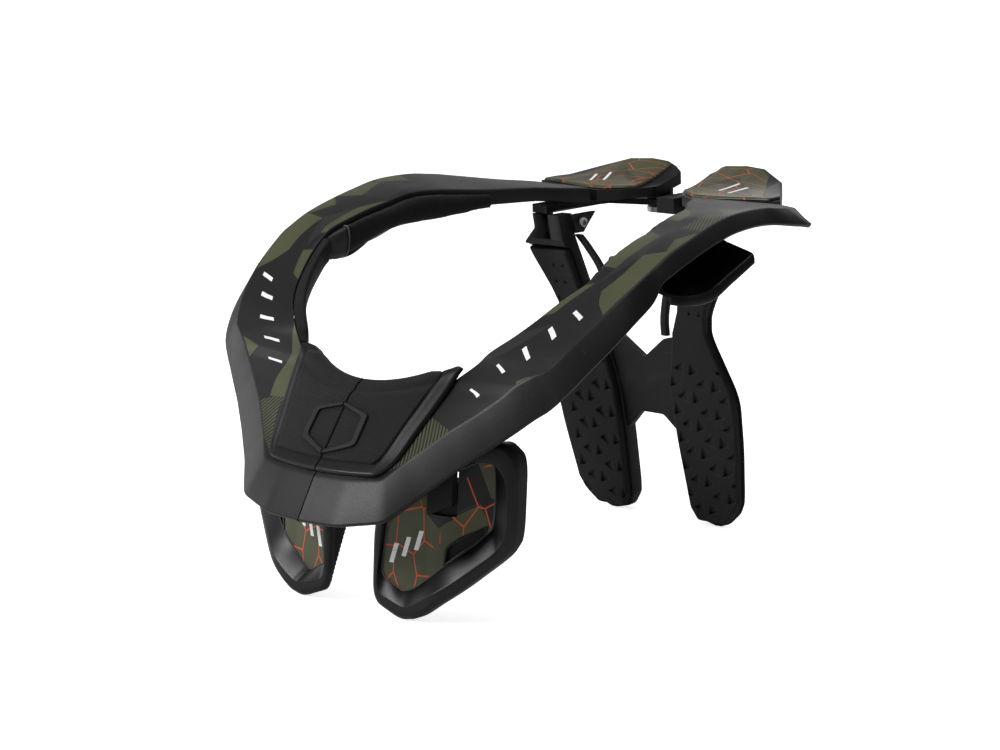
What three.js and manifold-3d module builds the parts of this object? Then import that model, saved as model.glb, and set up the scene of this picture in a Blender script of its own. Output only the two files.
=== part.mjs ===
import * as THREE from 'three';
import { mergeVertices } from 'three/addons/utils/BufferGeometryUtils.js';
import Module from 'manifold-3d';

const wasm = await Module();
wasm.setup();

// Driving dimensions, in millimetres. X is across, Y runs from the chest to the back, Z is up.
const halfWidth = 130;      // centre line to the outermost skirt
const depth = 296;          // front fascia to the back of the wings
const height = 190;         // floor to the top of the wings
const shellWall = 2.6;      // moulded wall of the frame halves
const clearance = 0.3;      // between pieces that lie on each other
const seamGap = 0.8;        // between the two halves at the front seam
const border = 1.56;        // a piece's edge set in from the edge of the piece that carries it
const reachPast = 10;       // how far a cutting tool reaches past what it cuts

// A point from shares of the half width, the depth and the height.
const at = (x, y, z) => new THREE.Vector3(x * halfWidth, y * depth, z * height);

const lerp = (a, b, t) => a + (b - a) * t;

// The value of one column of a table at a place between its rows, by a share from 0 to 1.
function sample(rows, column, share) {
  const place = Math.min(Math.max(share, 0), 1) * (rows.length - 1);
  const low = Math.min(Math.floor(place), rows.length - 2);
  return lerp(rows[low][column], rows[low + 1][column], place - low);
}

// The value of one column where the first column has a given value.
function lookUp(rows, column, key) {
  let low = 0;
  while (low < rows.length - 2 && rows[low + 1][0] < key) {
    low += 1;
  }
  const span = rows[low + 1][0] - rows[low][0];
  return lerp(rows[low][column], rows[low + 1][column], (key - rows[low][0]) / span);
}

// Triangles of a flat or nearly flat closed ring, in the ring's own turning sense.
function ringTriangles(ring) {
  const normal = new THREE.Vector3();
  ring.forEach((point, i) => normal.add(point.clone().cross(ring[(i + 1) % ring.length])));
  normal.normalize();
  const side = Math.abs(normal.z) < 0.9 ? new THREE.Vector3(0, 0, 1) : new THREE.Vector3(1, 0, 0);
  const across = side.cross(normal).normalize();
  const along = normal.clone().cross(across);
  const flat = ring.map((point) => new THREE.Vector2(point.dot(across), point.dot(along)));
  return THREE.ShapeUtils.triangulateShape(flat, []).map(([a, b, c]) => {
    const turn = flat[b].clone().sub(flat[a]).cross(flat[c].clone().sub(flat[a]));
    return turn < 0 ? [a, c, b] : [a, b, c];
  });
}

function indexedGeometry(points, triangles) {
  const geometry = new THREE.BufferGeometry();
  geometry.setAttribute('position', new THREE.Float32BufferAttribute(points.flatMap((p) => p.toArray()), 3));
  geometry.setIndex(triangles.flat());
  geometry.computeVertexNormals();
  return geometry;
}

// Six times the volume inside the triangles; it is negative where they face inwards.
function signedVolume(points, triangles) {
  return triangles.reduce((sum, [a, b, c]) => sum + points[a].dot(points[b].clone().cross(points[c])), 0);
}

// A closed solid through closed rings that all have as many points.
function loft(rings) {
  const count = rings[0].length;
  const points = rings.flat();
  const triangles = [];
  for (let row = 0; row < rings.length - 1; row += 1) {
    for (let i = 0; i < count; i += 1) {
      const a = row * count + i;
      const b = row * count + ((i + 1) % count);
      triangles.push([a, b, b + count], [a, b + count, a + count]);
    }
  }
  ringTriangles(rings[0]).forEach(([a, b, c]) => triangles.push([a, c, b]));
  const last = (rings.length - 1) * count;
  ringTriangles(rings[rings.length - 1]).forEach((corners) => triangles.push(corners.map((i) => last + i)));
  if (signedVolume(points, triangles) < 0) {
    triangles.forEach((triangle) => triangle.reverse());
  }
  return indexedGeometry(points, triangles);
}

// The grid moved inwards by a distance, mitred between the neighbouring strips of each row.
function insetGrid(grid, distance) {
  return grid.map((row, i) => {
    const before = grid[Math.max(i - 1, 0)];
    const after = grid[Math.min(i + 1, grid.length - 1)];
    const strips = row.slice(0, -1).map((point, j) => {
      const along = after[j].clone().sub(before[j]).add(after[j + 1].clone().sub(before[j + 1]));
      return row[j + 1].clone().sub(point).cross(along).normalize();
    });
    return row.map((point, j) => {
      const first = strips[Math.max(j - 1, 0)];
      const second = strips[Math.min(j, strips.length - 1)];
      const mitre = first.clone().add(second).divideScalar(1 + first.dot(second));
      return point.clone().addScaledVector(mitre, -distance);
    });
  });
}

// A wall between a grid and the same grid set in by the wall's thickness.
function wallSolid(grid, thickness) {
  const inner = insetGrid(grid, thickness);
  return loft(grid.map((row, i) => [...row, ...inner[i].slice().reverse()]));
}

function toSolid(geometry) {
  const bare = geometry.clone();
  bare.deleteAttribute('normal');
  bare.deleteAttribute('uv');
  const merged = mergeVertices(bare, 1e-4);
  return new wasm.Manifold(new wasm.Mesh({
    numProp: 3,
    vertProperties: new Float32Array(merged.attributes.position.array),
    triVerts: new Uint32Array(merged.index.array),
  }));
}

function fromSolid(solid) {
  const mesh = solid.getMesh();
  const geometry = new THREE.BufferGeometry();
  geometry.setAttribute('position', new THREE.BufferAttribute(new Float32Array(mesh.vertProperties), 3));
  geometry.setIndex(new THREE.BufferAttribute(new Uint32Array(mesh.triVerts), 1));
  geometry.computeVertexNormals();
  return geometry;
}

const cut = (geometry, ...tools) => fromSolid(
  tools.reduce((solid, tool) => solid.subtract(toSolid(tool)), toSolid(geometry)),
);

const join = (...pieces) => fromSolid(pieces.map(toSolid).reduce((a, b) => a.add(b)));

function boxBetween(low, high) {
  const size = high.clone().sub(low);
  const middle = low.clone().add(high).divideScalar(2);
  return new THREE.BoxGeometry(size.x, size.y, size.z).translate(middle.x, middle.y, middle.z);
}

function mirrored(geometry) {
  const copy = geometry.clone().scale(-1, 1, 1);
  const index = copy.index ? Array.from(copy.index.array) : [...Array(copy.attributes.position.count).keys()];
  for (let i = 0; i < index.length; i += 3) {
    [index[i], index[i + 2]] = [index[i + 2], index[i]];
  }
  copy.setIndex(index);
  copy.computeVertexNormals();
  return copy;
}

const materials = {
  camo: new THREE.MeshStandardMaterial({ color: 0x2b2d29, roughness: 0.55, metalness: 0 }),
  plastic: new THREE.MeshStandardMaterial({ color: 0x1c1c1e, roughness: 0.5, metalness: 0 }),
  rubber: new THREE.MeshStandardMaterial({ color: 0x141415, roughness: 0.8, metalness: 0 }),
  textile: new THREE.MeshStandardMaterial({ color: 0x131314, roughness: 0.95, metalness: 0 }),
  decal: new THREE.MeshStandardMaterial({ color: 0x55573d, roughness: 0.45, metalness: 0 }),
  steel: new THREE.MeshStandardMaterial({ color: 0x6f7276, roughness: 0.4, metalness: 1 }),
};

const brace = new THREE.Group();

function addPiece(name, geometry, material) {
  const mesh = new THREE.Mesh(geometry, material);
  mesh.name = name;
  brace.add(mesh);
}

// The right piece stands on the +X side, and the left one is its mirror image.
function addPair(name, geometry, material) {
  addPiece(`${name}_r`, geometry, material);
  addPiece(`${name}_l`, mirrored(geometry), material);
}

// Frame half: one row per section from the front seam round to the end under the wing.
// Columns: top face outer edge x y z, top face inner edge x y z, skirt edge x y z, inner wall drop.
const armSections = [
  [0, -0.138, 0.362, 0, -0.117, 0.393, 0, -0.177, 0.26, 0.042],
  [0.169, -0.134, 0.364, 0.162, -0.114, 0.395, 0.185, -0.172, 0.263, 0.042],
  [0.312, -0.12, 0.374, 0.273, -0.1, 0.396, 0.373, -0.147, 0.283, 0.042],
  [0.383, -0.092, 0.423, 0.295, -0.09, 0.406, 0.475, -0.103, 0.348, 0.042],
  [0.508, -0.051, 0.497, 0.325, -0.058, 0.474, 0.577, -0.068, 0.411, 0.042],
  [0.605, -0.025, 0.544, 0.356, -0.026, 0.534, 0.681, -0.035, 0.468, 0.042],
  [0.677, -0.007, 0.584, 0.379, -0.001, 0.576, 0.75, -0.016, 0.505, 0.042],
  [0.721, 0.003, 0.613, 0.396, 0.01, 0.598, 0.803, -0.001, 0.535, 0.042],
  [0.777, 0.015, 0.637, 0.469, 0.028, 0.639, 0.85, 0.012, 0.558, 0.047],
  [0.831, 0.031, 0.658, 0.515, 0.039, 0.672, 0.909, 0.031, 0.602, 0.047],
  [0.88, 0.064, 0.712, 0.582, 0.062, 0.709, 0.953, 0.062, 0.653, 0.047],
  [0.92, 0.108, 0.769, 0.634, 0.09, 0.746, 0.985, 0.099, 0.701, 0.047],
  [0.939, 0.141, 0.806, 0.677, 0.127, 0.788, 1, 0.135, 0.742, 0.047],
  [0.96, 0.19, 0.854, 0.723, 0.173, 0.83, 1, 0.189, 0.789, 0.047],
  [0.962, 0.216, 0.874, 0.732, 0.199, 0.858, 1, 0.213, 0.834, 0.047],
  [0.962, 0.252, 0.899, 0.729, 0.223, 0.879, 1, 0.25, 0.858, 0.047],
  [0.959, 0.304, 0.924, 0.711, 0.284, 0.908, 0.998, 0.297, 0.884, 0.047],
  [0.948, 0.364, 0.948, 0.701, 0.335, 0.925, 0.992, 0.351, 0.908, 0.047],
  [0.946, 0.419, 0.963, 0.675, 0.385, 0.944, 0.985, 0.409, 0.924, 0.047],
  [0.938, 0.49, 0.965, 0.623, 0.439, 0.945, 0.973, 0.493, 0.926, 0.047],
  [0.938, 0.561, 0.953, 0.523, 0.51, 0.937, 0.977, 0.603, 0.903, 0.045],
  [0.785, 0.662, 0.926, 0.4, 0.578, 0.937, 0.8, 0.682, 0.892, 0.04],
  [0.708, 0.68, 0.924, 0.331, 0.625, 0.93, 0.723, 0.688, 0.889, 0.04],
  [0.638, 0.684, 0.924, 0.265, 0.6562, 0.928, 0.638, 0.6845, 0.89, 0.041],
];
const armOuter = armSections.map((row) => at(row[0], row[1], row[2]));
const armInner = armSections.map((row) => at(row[3], row[4], row[5]));
const armSkirt = armSections.map((row) => at(row[6], row[7], row[8]));
const armDrop = armSections.map((row) => row[9] * height);

// The arm's skin, from the inner wall's foot over the top face to the skirt's edge.
function armGrid() {
  return armSections.map((row, i) => {
    const foot = armInner[i].clone().setZ(armInner[i].z - armDrop[i]);
    const skin = [foot, armInner[i].clone(), armOuter[i].clone(), armSkirt[i].clone()];
    if (i === 0) {
      skin.forEach((point) => point.setX(seamGap / 2));
    }
    return skin;
  });
}

// Everything above the underside of the arm's top face and its inner wall, to trim what reaches up to it.
const roofRise = 38;
function armRoof() {
  const skin = armGrid();
  const under = insetGrid(skin, shellWall + clearance);
  const rise = new THREE.Vector3(0, 0, roofRise);
  const drop = new THREE.Vector3(0, 0, -clearance);
  return loft(under.map((row, i) => {
    const [foot, inner, outer] = row;
    const [wallFoot, wallTop] = skin[i];
    return [
      inner,
      outer,
      outer.clone().add(rise),
      wallTop.clone().add(rise),
      wallFoot.clone().add(drop),
      foot.clone().add(drop),
    ];
  }));
}

// Front shield: one row per height, from the bottom edge to the rolled neck edge.
// Columns: centre y z, side x y z.
const shieldRows = [
  [-0.137, 0.38, 0.292, -0.122, 0.387],
  [-0.112, 0.418, 0.335, -0.096, 0.423],
  [-0.081, 0.482, 0.365, -0.062, 0.486],
  [-0.059, 0.529, 0.396, -0.028, 0.549],
  [-0.046, 0.553, 0.416, 0, 0.602],
  [-0.03, 0.567, 0.424, 0.016, 0.634],
  [-0.018, 0.568, 0.384, 0.026, 0.63],
  [-0.009, 0.55, 0.357, 0.035, 0.611],
];
const shieldWall = 2;
const insertWall = 2;

// A point of the shield's face: across from the seam to the side, up from the bottom edge.
function shieldPoint(across, up) {
  const y = lerp(sample(shieldRows, 0, up), sample(shieldRows, 3, up), across ** 2);
  const z = lerp(sample(shieldRows, 1, up), sample(shieldRows, 4, up), across ** 2);
  const side = sample(shieldRows, 2, up) * halfWidth;
  return new THREE.Vector3(lerp(seamGap / 2, side, across), y * depth, z * height);
}

function shieldNormal(across, up) {
  const step = 0.02;   // share of the face over which its directions are taken
  const low = Math.min(Math.max(up - step, 0), 1 - 2 * step);
  const left = Math.min(Math.max(across - step, 0), 1 - 2 * step);
  const rise = shieldPoint(across, low + 2 * step).sub(shieldPoint(across, low));
  const run = shieldPoint(left + 2 * step, up).sub(shieldPoint(left, up));
  return run.cross(rise).normalize();
}

function shieldLifted(across, up, lift) {
  const point = shieldPoint(across, up).addScaledVector(shieldNormal(across, up), lift);
  return across === 0 ? point.setX(seamGap / 2) : point;
}

// A layer on the shield between two lifts; the span is [first across, last across] by height.
function shieldLayer(upValues, span, low, high) {
  const columns = 6;
  return loft(upValues.map((up) => {
    const [first, last] = span(up);
    const steps = Array.from({ length: columns + 1 }, (_, i) => lerp(first, last, i / columns));
    const top = steps.map((across) => shieldLifted(across, up, high));
    const bottom = steps.map((across) => shieldLifted(across, up, low));
    return [...top, ...bottom.reverse()];
  }));
}

const rowShares = (count, first = 0, last = 1) => (
  Array.from({ length: count }, (_, i) => lerp(first, last, i / (count - 1)))
);

const frontFrame = () => shieldLayer(rowShares(15), () => [0, 1], -shieldWall, 0);

// The ribbed insert leaves a plain border along the bottom and the side.
const insertFoot = 0.1;
const insertSide = 0.8;
const insertSideTop = 0.86;
const frontPad = () => shieldLayer(
  rowShares(13, insertFoot, 1),
  (up) => [0, lerp(insertSide, insertSideTop, up)],
  clearance,
  clearance + insertWall,
);

// Emblem: half of a plain six-sided ring, as a band along a path on the insert.
// Columns: across share, up share.
const emblemPath = [[0, 0.42], [0.36, 0.35], [0.4, 0.19], [0, 0.12]];
const emblemMiddle = 0.27;    // up share of the ring's middle
const emblemReach = 17;       // about half of the ring's width
const emblemBand = 3.2;
const emblemRise = 1.4;
function frontEmblem() {
  const base = 2 * clearance + insertWall;
  const inward = 1 - emblemBand / emblemReach;
  return loft(emblemPath.map(([across, up]) => {
    const innerAcross = across * inward;
    const innerUp = lerp(emblemMiddle, up, inward);
    return [
      shieldLifted(across, up, base),
      shieldLifted(across, up, base + emblemRise),
      shieldLifted(innerAcross, innerUp, base + emblemRise),
      shieldLifted(innerAcross, innerUp, base),
    ];
  }));
}

// The level direction square to the arm's inner edge, towards the neck.
function inwardFrom(before, after) {
  const along = after.clone().sub(before).setZ(0).normalize();
  return new THREE.Vector3(-along.y, along.x, 0);
}

// Neck liner: a rubber band on the inner wall, from the shield's corner to the shoulder pad.
// Columns: arm section, thickness, drop from its top to its foot.
const linerRows = [
  [8, 4.5, 11],
  [9, 6.5, 14],
  [10, 6.5, 14.5],
  [11, 5.5, 14],
  [12, 4.5, 13.5],
  [13, 4, 13.5],
  [14, 4, 13.5],
];
const linerSet = 1.5;   // its top below the arm's inner edge
// Columns: share of the thickness, share of the drop.
const linerFace = [[1, 0.08], [1, 0.6], [0.75, 0.92]];
function collarLiner() {
  return loft(linerRows.map(([section, wall, drop]) => {
    const inward = inwardFrom(armInner[section - 1], armInner[section + 1]);
    const top = armInner[section].clone().setZ(armInner[section].z - linerSet);
    const face = linerFace.map(([out, down]) => [out * wall, down * drop]);
    const ring = [[clearance, 0], ...face, [clearance, drop]];
    return ring.map(([out, down]) => top.clone().addScaledVector(inward, out).setZ(top.z - down));
  }));
}

// Shoulder pad: one row per arm section, from the liner's end towards the wing.
// Columns: arm section, drop of the pad below the arm's inner edge as a share, inner bulge.
const padRows = [
  [14.6, 0.1, 5],
  [16, 0.092, 6.5],
  [17, 0.083, 7],
  [18, 0.09, 7],
  [18.8, 0.087, 7],
  [19.4, 0.075, 6],
  [19.8, 0.063, 5],
  [20.1, 0.057, 4],
];
const padTopSet = 2.5;      // the pad's top below the arm's inner edge
const padTuck = 2;          // how far its foot reaches under the arm's wall
const padSoftness = 1;      // how far its edges are drawn in
const padFootSlant = 4;     // how far its foot lies behind its bulge
const padReach = 0.4;       // sections on both sides that give the edge's direction
const wallDrop = 0.047;     // share of the height: the arm's inner wall beside the pad
const padWallGap = 0.77;    // the pad's step lies this far under the foot of the arm's wall
const padWallFoot = wallDrop * height + padWallGap;
function armInnerAt(section) {
  const low = Math.floor(section);
  return armInner[low].clone().lerp(armInner[low + 1], section - low);
}
function shoulderPad() {
  return loft(padRows.map(([section, dropShare, bulge]) => {
    const edge = armInnerAt(section);
    const inward = inwardFrom(armInnerAt(section - padReach), armInnerAt(section + padReach));
    const drop = dropShare * height;
    const ring = [
      [clearance, padTopSet],
      [bulge - padSoftness, padTopSet],
      [bulge, drop * 0.45],
      [bulge - 1.5 * padSoftness, drop * 0.8],
      [bulge - padFootSlant, drop],
      [-padTuck + padSoftness / 2, Math.max(drop - padSoftness / 2, padWallFoot + padSoftness)],
      [-padTuck, padWallFoot],
      [clearance, padWallFoot],
    ];
    return ring.map(([out, down]) => edge.clone().addScaledVector(inward, out).setZ(edge.z - down));
  }));
}

// Shoulder scoop: one row per section from its front to its back.
// Columns: inner wall top x y z, floor x y z, rim x y z.
const scoopRows = [
  [0.785, 0.242, 0.95, 0.8, 0.242, 0.82, 0.95, 0.242, 0.795],
  [0.777, 0.287, 0.97, 0.795, 0.287, 0.815, 0.965, 0.287, 0.783],
  [0.772, 0.348, 0.98, 0.79, 0.348, 0.83, 0.965, 0.348, 0.785],
  [0.765, 0.405, 1, 0.785, 0.405, 0.858, 0.965, 0.399, 0.818],
  [0.755, 0.463, 1, 0.785, 0.462, 0.885, 0.97, 0.453, 0.858],
];
function shoulderShell() {
  const grid = scoopRows.map((row) => {
    const top = at(row[0], row[1], row[2]);
    const floor = at(row[3], row[4], row[5]);
    const rim = at(row[6], row[7], row[8]);
    return [top, floor, rim];
  });
  return cut(wallSolid(grid, shellWall), armRoof());
}

// Chest piece: a tray seen from the front. Columns: x, low z, high z.
const chestOutline = [
  [0.115, 0.05, 0.22],
  [0.134, 0.026, 0.27],
  [0.2, 0.008, 0.325],
  [0.267, 0, 0.36],
  [0.31, 0, 0.385],
  [0.355, 0.014, 0.4],
  [0.48, 0.073, 0.43],
  [0.625, 0.156, 0.463],
  [0.668, 0.19, 0.447],
  [0.689, 0.225, 0.415],
];
const chestFront = -0.0743;   // the tray's face at the floor, a share of the depth
const chestLean = 0.095;      // how far the face leans back for each millimetre up
const chestWrap = 0.56;       // how far the outer part wraps back for each millimetre across
const chestTurn = 0.43;       // where it begins to wrap, a share of the half width
const chestBend = 6;          // how gently it turns there
const trayShallow = 2;
const trayDeep = 6;
const trayRampStart = 0.13;   // where its floor begins to deepen, a share of the half width
const trayRampLength = 0.22;
const plateWall = 1.6;
const chestPadBack = 21;      // the pad's back behind the face, at its top edge
const chestPadFoot = 1.8;     // the pad's thickness at its bottom edge
const chestPadOuter = 0.56;

function chestFace(x, z, back) {
  const past = x - chestTurn * halfWidth;
  const bend = chestWrap * (past + Math.hypot(past, chestBend)) / 2;
  return new THREE.Vector3(x, chestFront * depth + chestLean * z + bend + back, z);
}

// The tray's floor is shallow at its inner side and deep outboard.
function floorDepth(x) {
  const share = (x / halfWidth - trayRampStart) / trayRampLength;
  return lerp(trayShallow, trayDeep, Math.min(Math.max(share, 0), 1));
}

// The places across the chest piece where a layer's outline turns, between two ends.
function chestStations(first, last) {
  const inside = chestOutline.map((row) => row[0] * halfWidth).filter((x) => x > first + 1 && x < last - 1);
  return [first, ...inside, last];
}

// A layer of the chest piece between two depths across it, its outline drawn in by a distance.
function chestLayer(frontAt, backAt, drawnIn) {
  const first = chestOutline[0][0] * halfWidth + drawnIn;
  const last = chestOutline[chestOutline.length - 1][0] * halfWidth - drawnIn;
  return loft(chestStations(first, last).map((x) => {
    const low = lookUp(chestOutline, 1, x / halfWidth) * height + drawnIn;
    const high = lookUp(chestOutline, 2, x / halfWidth) * height - drawnIn;
    return [
      chestFace(x, low, frontAt(x)),
      chestFace(x, high, frontAt(x)),
      chestFace(x, high, backAt(x)),
      chestFace(x, low, backAt(x)),
    ];
  }));
}

// The tray's window narrows from its face to its back. Columns: x z at the face, x z at the back.
const windowCorners = [
  [0.138, 0.058, 0.142, 0.1],
  [0.28, 0.034, 0.246, 0.066],
  [0.325, 0.042, 0.292, 0.074],
  [0.488, 0.11, 0.4, 0.127],
  [0.619, 0.185, 0.592, 0.238],
  [0.662, 0.226, 0.599, 0.288],
  [0.662, 0.362, 0.593, 0.4],
  [0.62, 0.41, 0.573, 0.415],
  [0.54, 0.415, 0.544, 0.413],
  [0.43, 0.372, 0.435, 0.37],
  [0.16, 0.24, 0.165, 0.235],
];
function chestWindow() {
  const ring = (column, back) => windowCorners.map((row) => (
    chestFace(row[column] * halfWidth, row[column + 1] * height, back)
  ));
  return loft([ring(0, -reachPast), ring(0, 0), ring(2, trayDeep), ring(2, trayDeep + reachPast)]);
}

// The notch that the bracket drops into, and the slot beside the plate's middle.
const notchLow = 0.365;
const notchHigh = 0.475;
const notchFoot = 0.27;
const notchTop = 0.6;
const notchReach = 0.2;
const chestNotch = () => boxBetween(
  at(notchLow, -notchReach, notchFoot),
  at(notchHigh, notchReach, notchTop),
);

const slotCorners = [[0.43, 0.145], [0.565, 0.225], [0.57, 0.25], [0.44, 0.195]];
function plateSlot() {
  const ring = (back) => slotCorners.map(([x, z]) => chestFace(x * halfWidth, z * height, back));
  return loft([ring(0), ring(trayDeep + reachPast)]);
}

const chestFrame = () => cut(chestLayer(() => 0, floorDepth, 0), chestWindow(), chestNotch());
const chestPlate = () => cut(
  chestLayer((x) => floorDepth(x) + clearance, (x) => floorDepth(x) + clearance + plateWall, border),
  chestNotch(),
  plateSlot(),
);
// The foam behind the plate is a wedge, thin at the bottom and thick at the top.
function chestPad() {
  const first = chestOutline[0][0] * halfWidth + border;
  const wedge = loft(chestStations(first, chestPadOuter * halfWidth).map((x) => {
    const low = lookUp(chestOutline, 1, x / halfWidth) * height + 2 * border;
    const high = lookUp(chestOutline, 2, x / halfWidth) * height - border;
    const front = floorDepth(x) + plateWall + 2 * clearance;
    return [
      chestFace(x, low, front),
      chestFace(x, high, front),
      chestFace(x, high, chestPadBack),
      chestFace(x, low, front + chestPadFoot),
    ];
  }));
  return cut(wedge, chestNotch());
}

// Bracket: a tab from the underside of the arm down into the notch of the chest piece.
const bracketFront = 3;
const bracketWall = 3.5;
const bracketTop = 0.53;
const bracketSlant = 5.7;   // how much higher its foot is at its outer side
function chestBracket() {
  const left = notchLow * halfWidth + clearance;
  const right = notchHigh * halfWidth - 4 * clearance;
  const low = notchFoot * height + clearance;
  const high = bracketTop * height;
  const ring = (x, trim) => [
    chestFace(x, low + trim, bracketFront),
    chestFace(x, high, bracketFront),
    chestFace(x, high, bracketFront + bracketWall),
    chestFace(x, low + trim, bracketFront + bracketWall),
  ];
  const tab = loft([ring(left, 0), ring(right, bracketSlant)]);
  return cut(tab, armRoof());
}

// Wing: one row per section from the centre outwards.
// Columns: x, front y, back y, front top z, back top z, front foot z, back foot z.
const wingRows = [
  [0.077, 0.74, 0.811, 0.925, 0.955, 0.894, 0.92],
  [0.115, 0.716, 0.818, 0.923, 0.968, 0.897, 0.925],
  [0.162, 0.69, 0.82, 0.922, 0.98, 0.893, 0.935],
  [0.25, 0.669, 0.822, 0.921, 0.984, 0.889, 0.94],
  [0.346, 0.67, 0.82, 0.921, 0.98, 0.889, 0.935],
  [0.477, 0.682, 0.797, 0.924, 0.952, 0.889, 0.915],
  [0.56, 0.69, 0.75, 0.926, 0.93, 0.89, 0.9],
  [0.615, 0.695, 0.715, 0.926, 0.925, 0.892, 0.893],
];
const wingSteps = 5;
const wingCurve = 1.6;      // the top rises with this power of the share from its front to its back
function wingPoint(x, along, topColumn, lift) {
  const y = lerp(lookUp(wingRows, 1, x), lookUp(wingRows, 2, x), along);
  const rise = topColumn === 3 ? along ** wingCurve : along;
  const z = lerp(lookUp(wingRows, topColumn, x), lookUp(wingRows, topColumn + 1, x), rise);
  return at(x, y, z).add(new THREE.Vector3(0, 0, lift));
}
const pinX = 0.131;
const pinY = 0.78;
const pinRadius = 3.5;
const pinSides = 48;
const pinPlay = 0.08;       // running clearance between a pin and its bore
const pinTop = 0.94;
const carrierFoot = 0.867;
const carrierTop = 0.884;
const bossTop = 0.925;
const tongueLow = [0.4, 0.64, 0.893];
const tongueHigh = [0.56, 0.7, 0.908];

function upright(radius, lowZ, highZ) {
  return new THREE.CylinderGeometry(radius, radius, highZ - lowZ, pinSides)
    .rotateX(Math.PI / 2)
    .translate(pinX * halfWidth, pinY * depth, (lowZ + highZ) / 2);
}

// The wing has a boss round its hinge pin and a tongue inside the end of the arm.
function wingBody() {
  const wing = loft(wingRows.map(([x]) => {
    const shares = rowShares(wingSteps);
    const top = shares.map((along) => wingPoint(x, along, 3, 0));
    const foot = shares.map((along) => wingPoint(x, along, 5, 0));
    return [...top, ...foot.reverse()];
  }));
  const boss = upright(2 * pinRadius, carrierTop * height + clearance, bossTop * height);
  const tongue = cut(boxBetween(at(...tongueLow), at(...tongueHigh)), armRoof());
  const boreFoot = carrierTop * height - reachPast;
  const bore = upright(pinRadius + pinPlay, boreFoot, pinTop * height + clearance);
  return cut(join(wing, boss, tongue), bore);
}

const wingPlateWall = 1.2;
const plateInner = 0.13;
const plateOuter = 0.6;
const plateFront = 0.06;    // shares of the way from the wing's front to its back
const plateBack = 0.95;
function wingPlate() {
  const inside = wingRows.map(([x]) => x).filter((x) => x > plateInner + 0.02 && x < plateOuter - 0.02);
  return loft([plateInner, ...inside, plateOuter].map((x) => {
    const shares = rowShares(wingSteps, plateFront, plateBack);
    const top = shares.map((along) => wingPoint(x, along, 3, clearance + wingPlateWall));
    const foot = shares.map((along) => wingPoint(x, along, 3, clearance));
    return [...top, ...foot.reverse()];
  }));
}

// Rear carrier: a plate under the wings, a block between them and an arm out to each leg.
// Corners of the plate and the block: x y z.
const carrierPlate = [[-0.2, 0.757, carrierFoot], [0.2, 0.81, carrierTop]];
const carrierBlock = [[-0.046, 0.727, 0.856], [0.046, 0.81, 0.9]];
const strutTop = 0.858;
const carrierEnd = strutTop + 0.002;
// Columns: x, front y, back y, foot z.
const carrierArmRows = [
  [0.12, 0.76, 0.808, carrierFoot + 0.001],
  [0.32, 0.735, 0.79, carrierFoot],
  [0.37, 0.62, 0.77, carrierFoot],
  [0.38, 0.597, 0.75, carrierEnd],
  [0.46, 0.597, 0.66, carrierEnd],
];
function rearCarrier() {
  const boxOf = ([low, high]) => boxBetween(at(...low), at(...high));
  const reach = loft(carrierArmRows.map(([x, front, back, foot]) => [
    at(x, front, foot),
    at(x, back, foot),
    at(x, back, carrierTop),
    at(x, front, carrierTop),
  ]));
  const boreFoot = carrierFoot * height - reachPast;
  const bore = upright(pinRadius + pinPlay, boreFoot, carrierTop * height + reachPast);
  const whole = join(boxOf(carrierPlate), boxOf(carrierBlock), reach, mirrored(reach));
  return cut(whole, bore, mirrored(bore));
}

// The pin's head lies under the carrier's plate, and overlaps the pin's foot.
const headTop = carrierFoot - 0.004;
const headFoot = carrierFoot - 0.02;
const pinFoot = carrierFoot - 0.006;
const hingePin = () => join(
  upright(pinRadius, pinFoot * height, pinTop * height),
  upright(2 * pinRadius, headFoot * height, headTop * height),
);

// Strut: it leans back towards the floor. The face's place across the depth follows the height.
const strutTopY = 0.593;
const strutFootY = 0.698;
const strutFaceY = (z) => lerp(strutFootY, strutTopY, z / strutTop) * depth;

// Columns: z, inner x, outer x, thickness at the inner side, thickness at the outer side.
const legRows = [
  [0, 0.262, 0.3, 8, 6],
  [0.012, 0.19, 0.35, 11, 6],
  [0.05, 0.158, 0.415, 13, 6],
  [0.085, 0.156, 0.443, 14, 6],
  [0.24, 0.142, 0.478, 14, 6],
  [0.39, 0.14, 0.496, 14, 6],
  [0.56, 0.2, 0.395, 12, 6],
  [0.62, 0.238, 0.405, 12, 7],
  [0.765, 0.292, 0.53, 12, 8],
  [0.775, 0.296, 0.522, 12, 8],
  [0.8, 0.304, 0.485, 12, 9],
  [0.816, 0.304, 0.458, 12, 10],
  [strutTop, 0.304, 0.458, 12, 10],
];
const legPadWall = 4;
const padBottom = 0.012;
const padTop = 0.76;
function legRing(z, drawnIn, front, backInner, backOuter) {
  const inner = lookUp(legRows, 1, z) * halfWidth + drawnIn;
  const outer = lookUp(legRows, 2, z) * halfWidth - drawnIn;
  const face = strutFaceY(z);
  return [
    new THREE.Vector3(inner, face + front, z * height),
    new THREE.Vector3(outer, face + front, z * height),
    new THREE.Vector3(outer, face + backOuter, z * height),
    new THREE.Vector3(inner, face + backInner, z * height),
  ];
}

// The leg's face is set back under its pad, and it is flush with the pad above that.
const forkLow = [0.365, 0.5, 0.785];
const forkHigh = [0.415, 0.62, 0.9];
function strutLeg() {
  const leg = loft(legRows.map(([z, , , thickInner, thickOuter]) => (
    legRing(z, 0, z > padTop + 0.01 ? 0 : legPadWall + clearance, thickInner, thickOuter)
  )));
  return cut(leg, boxBetween(at(...forkLow), at(...forkHigh)));
}

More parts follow.
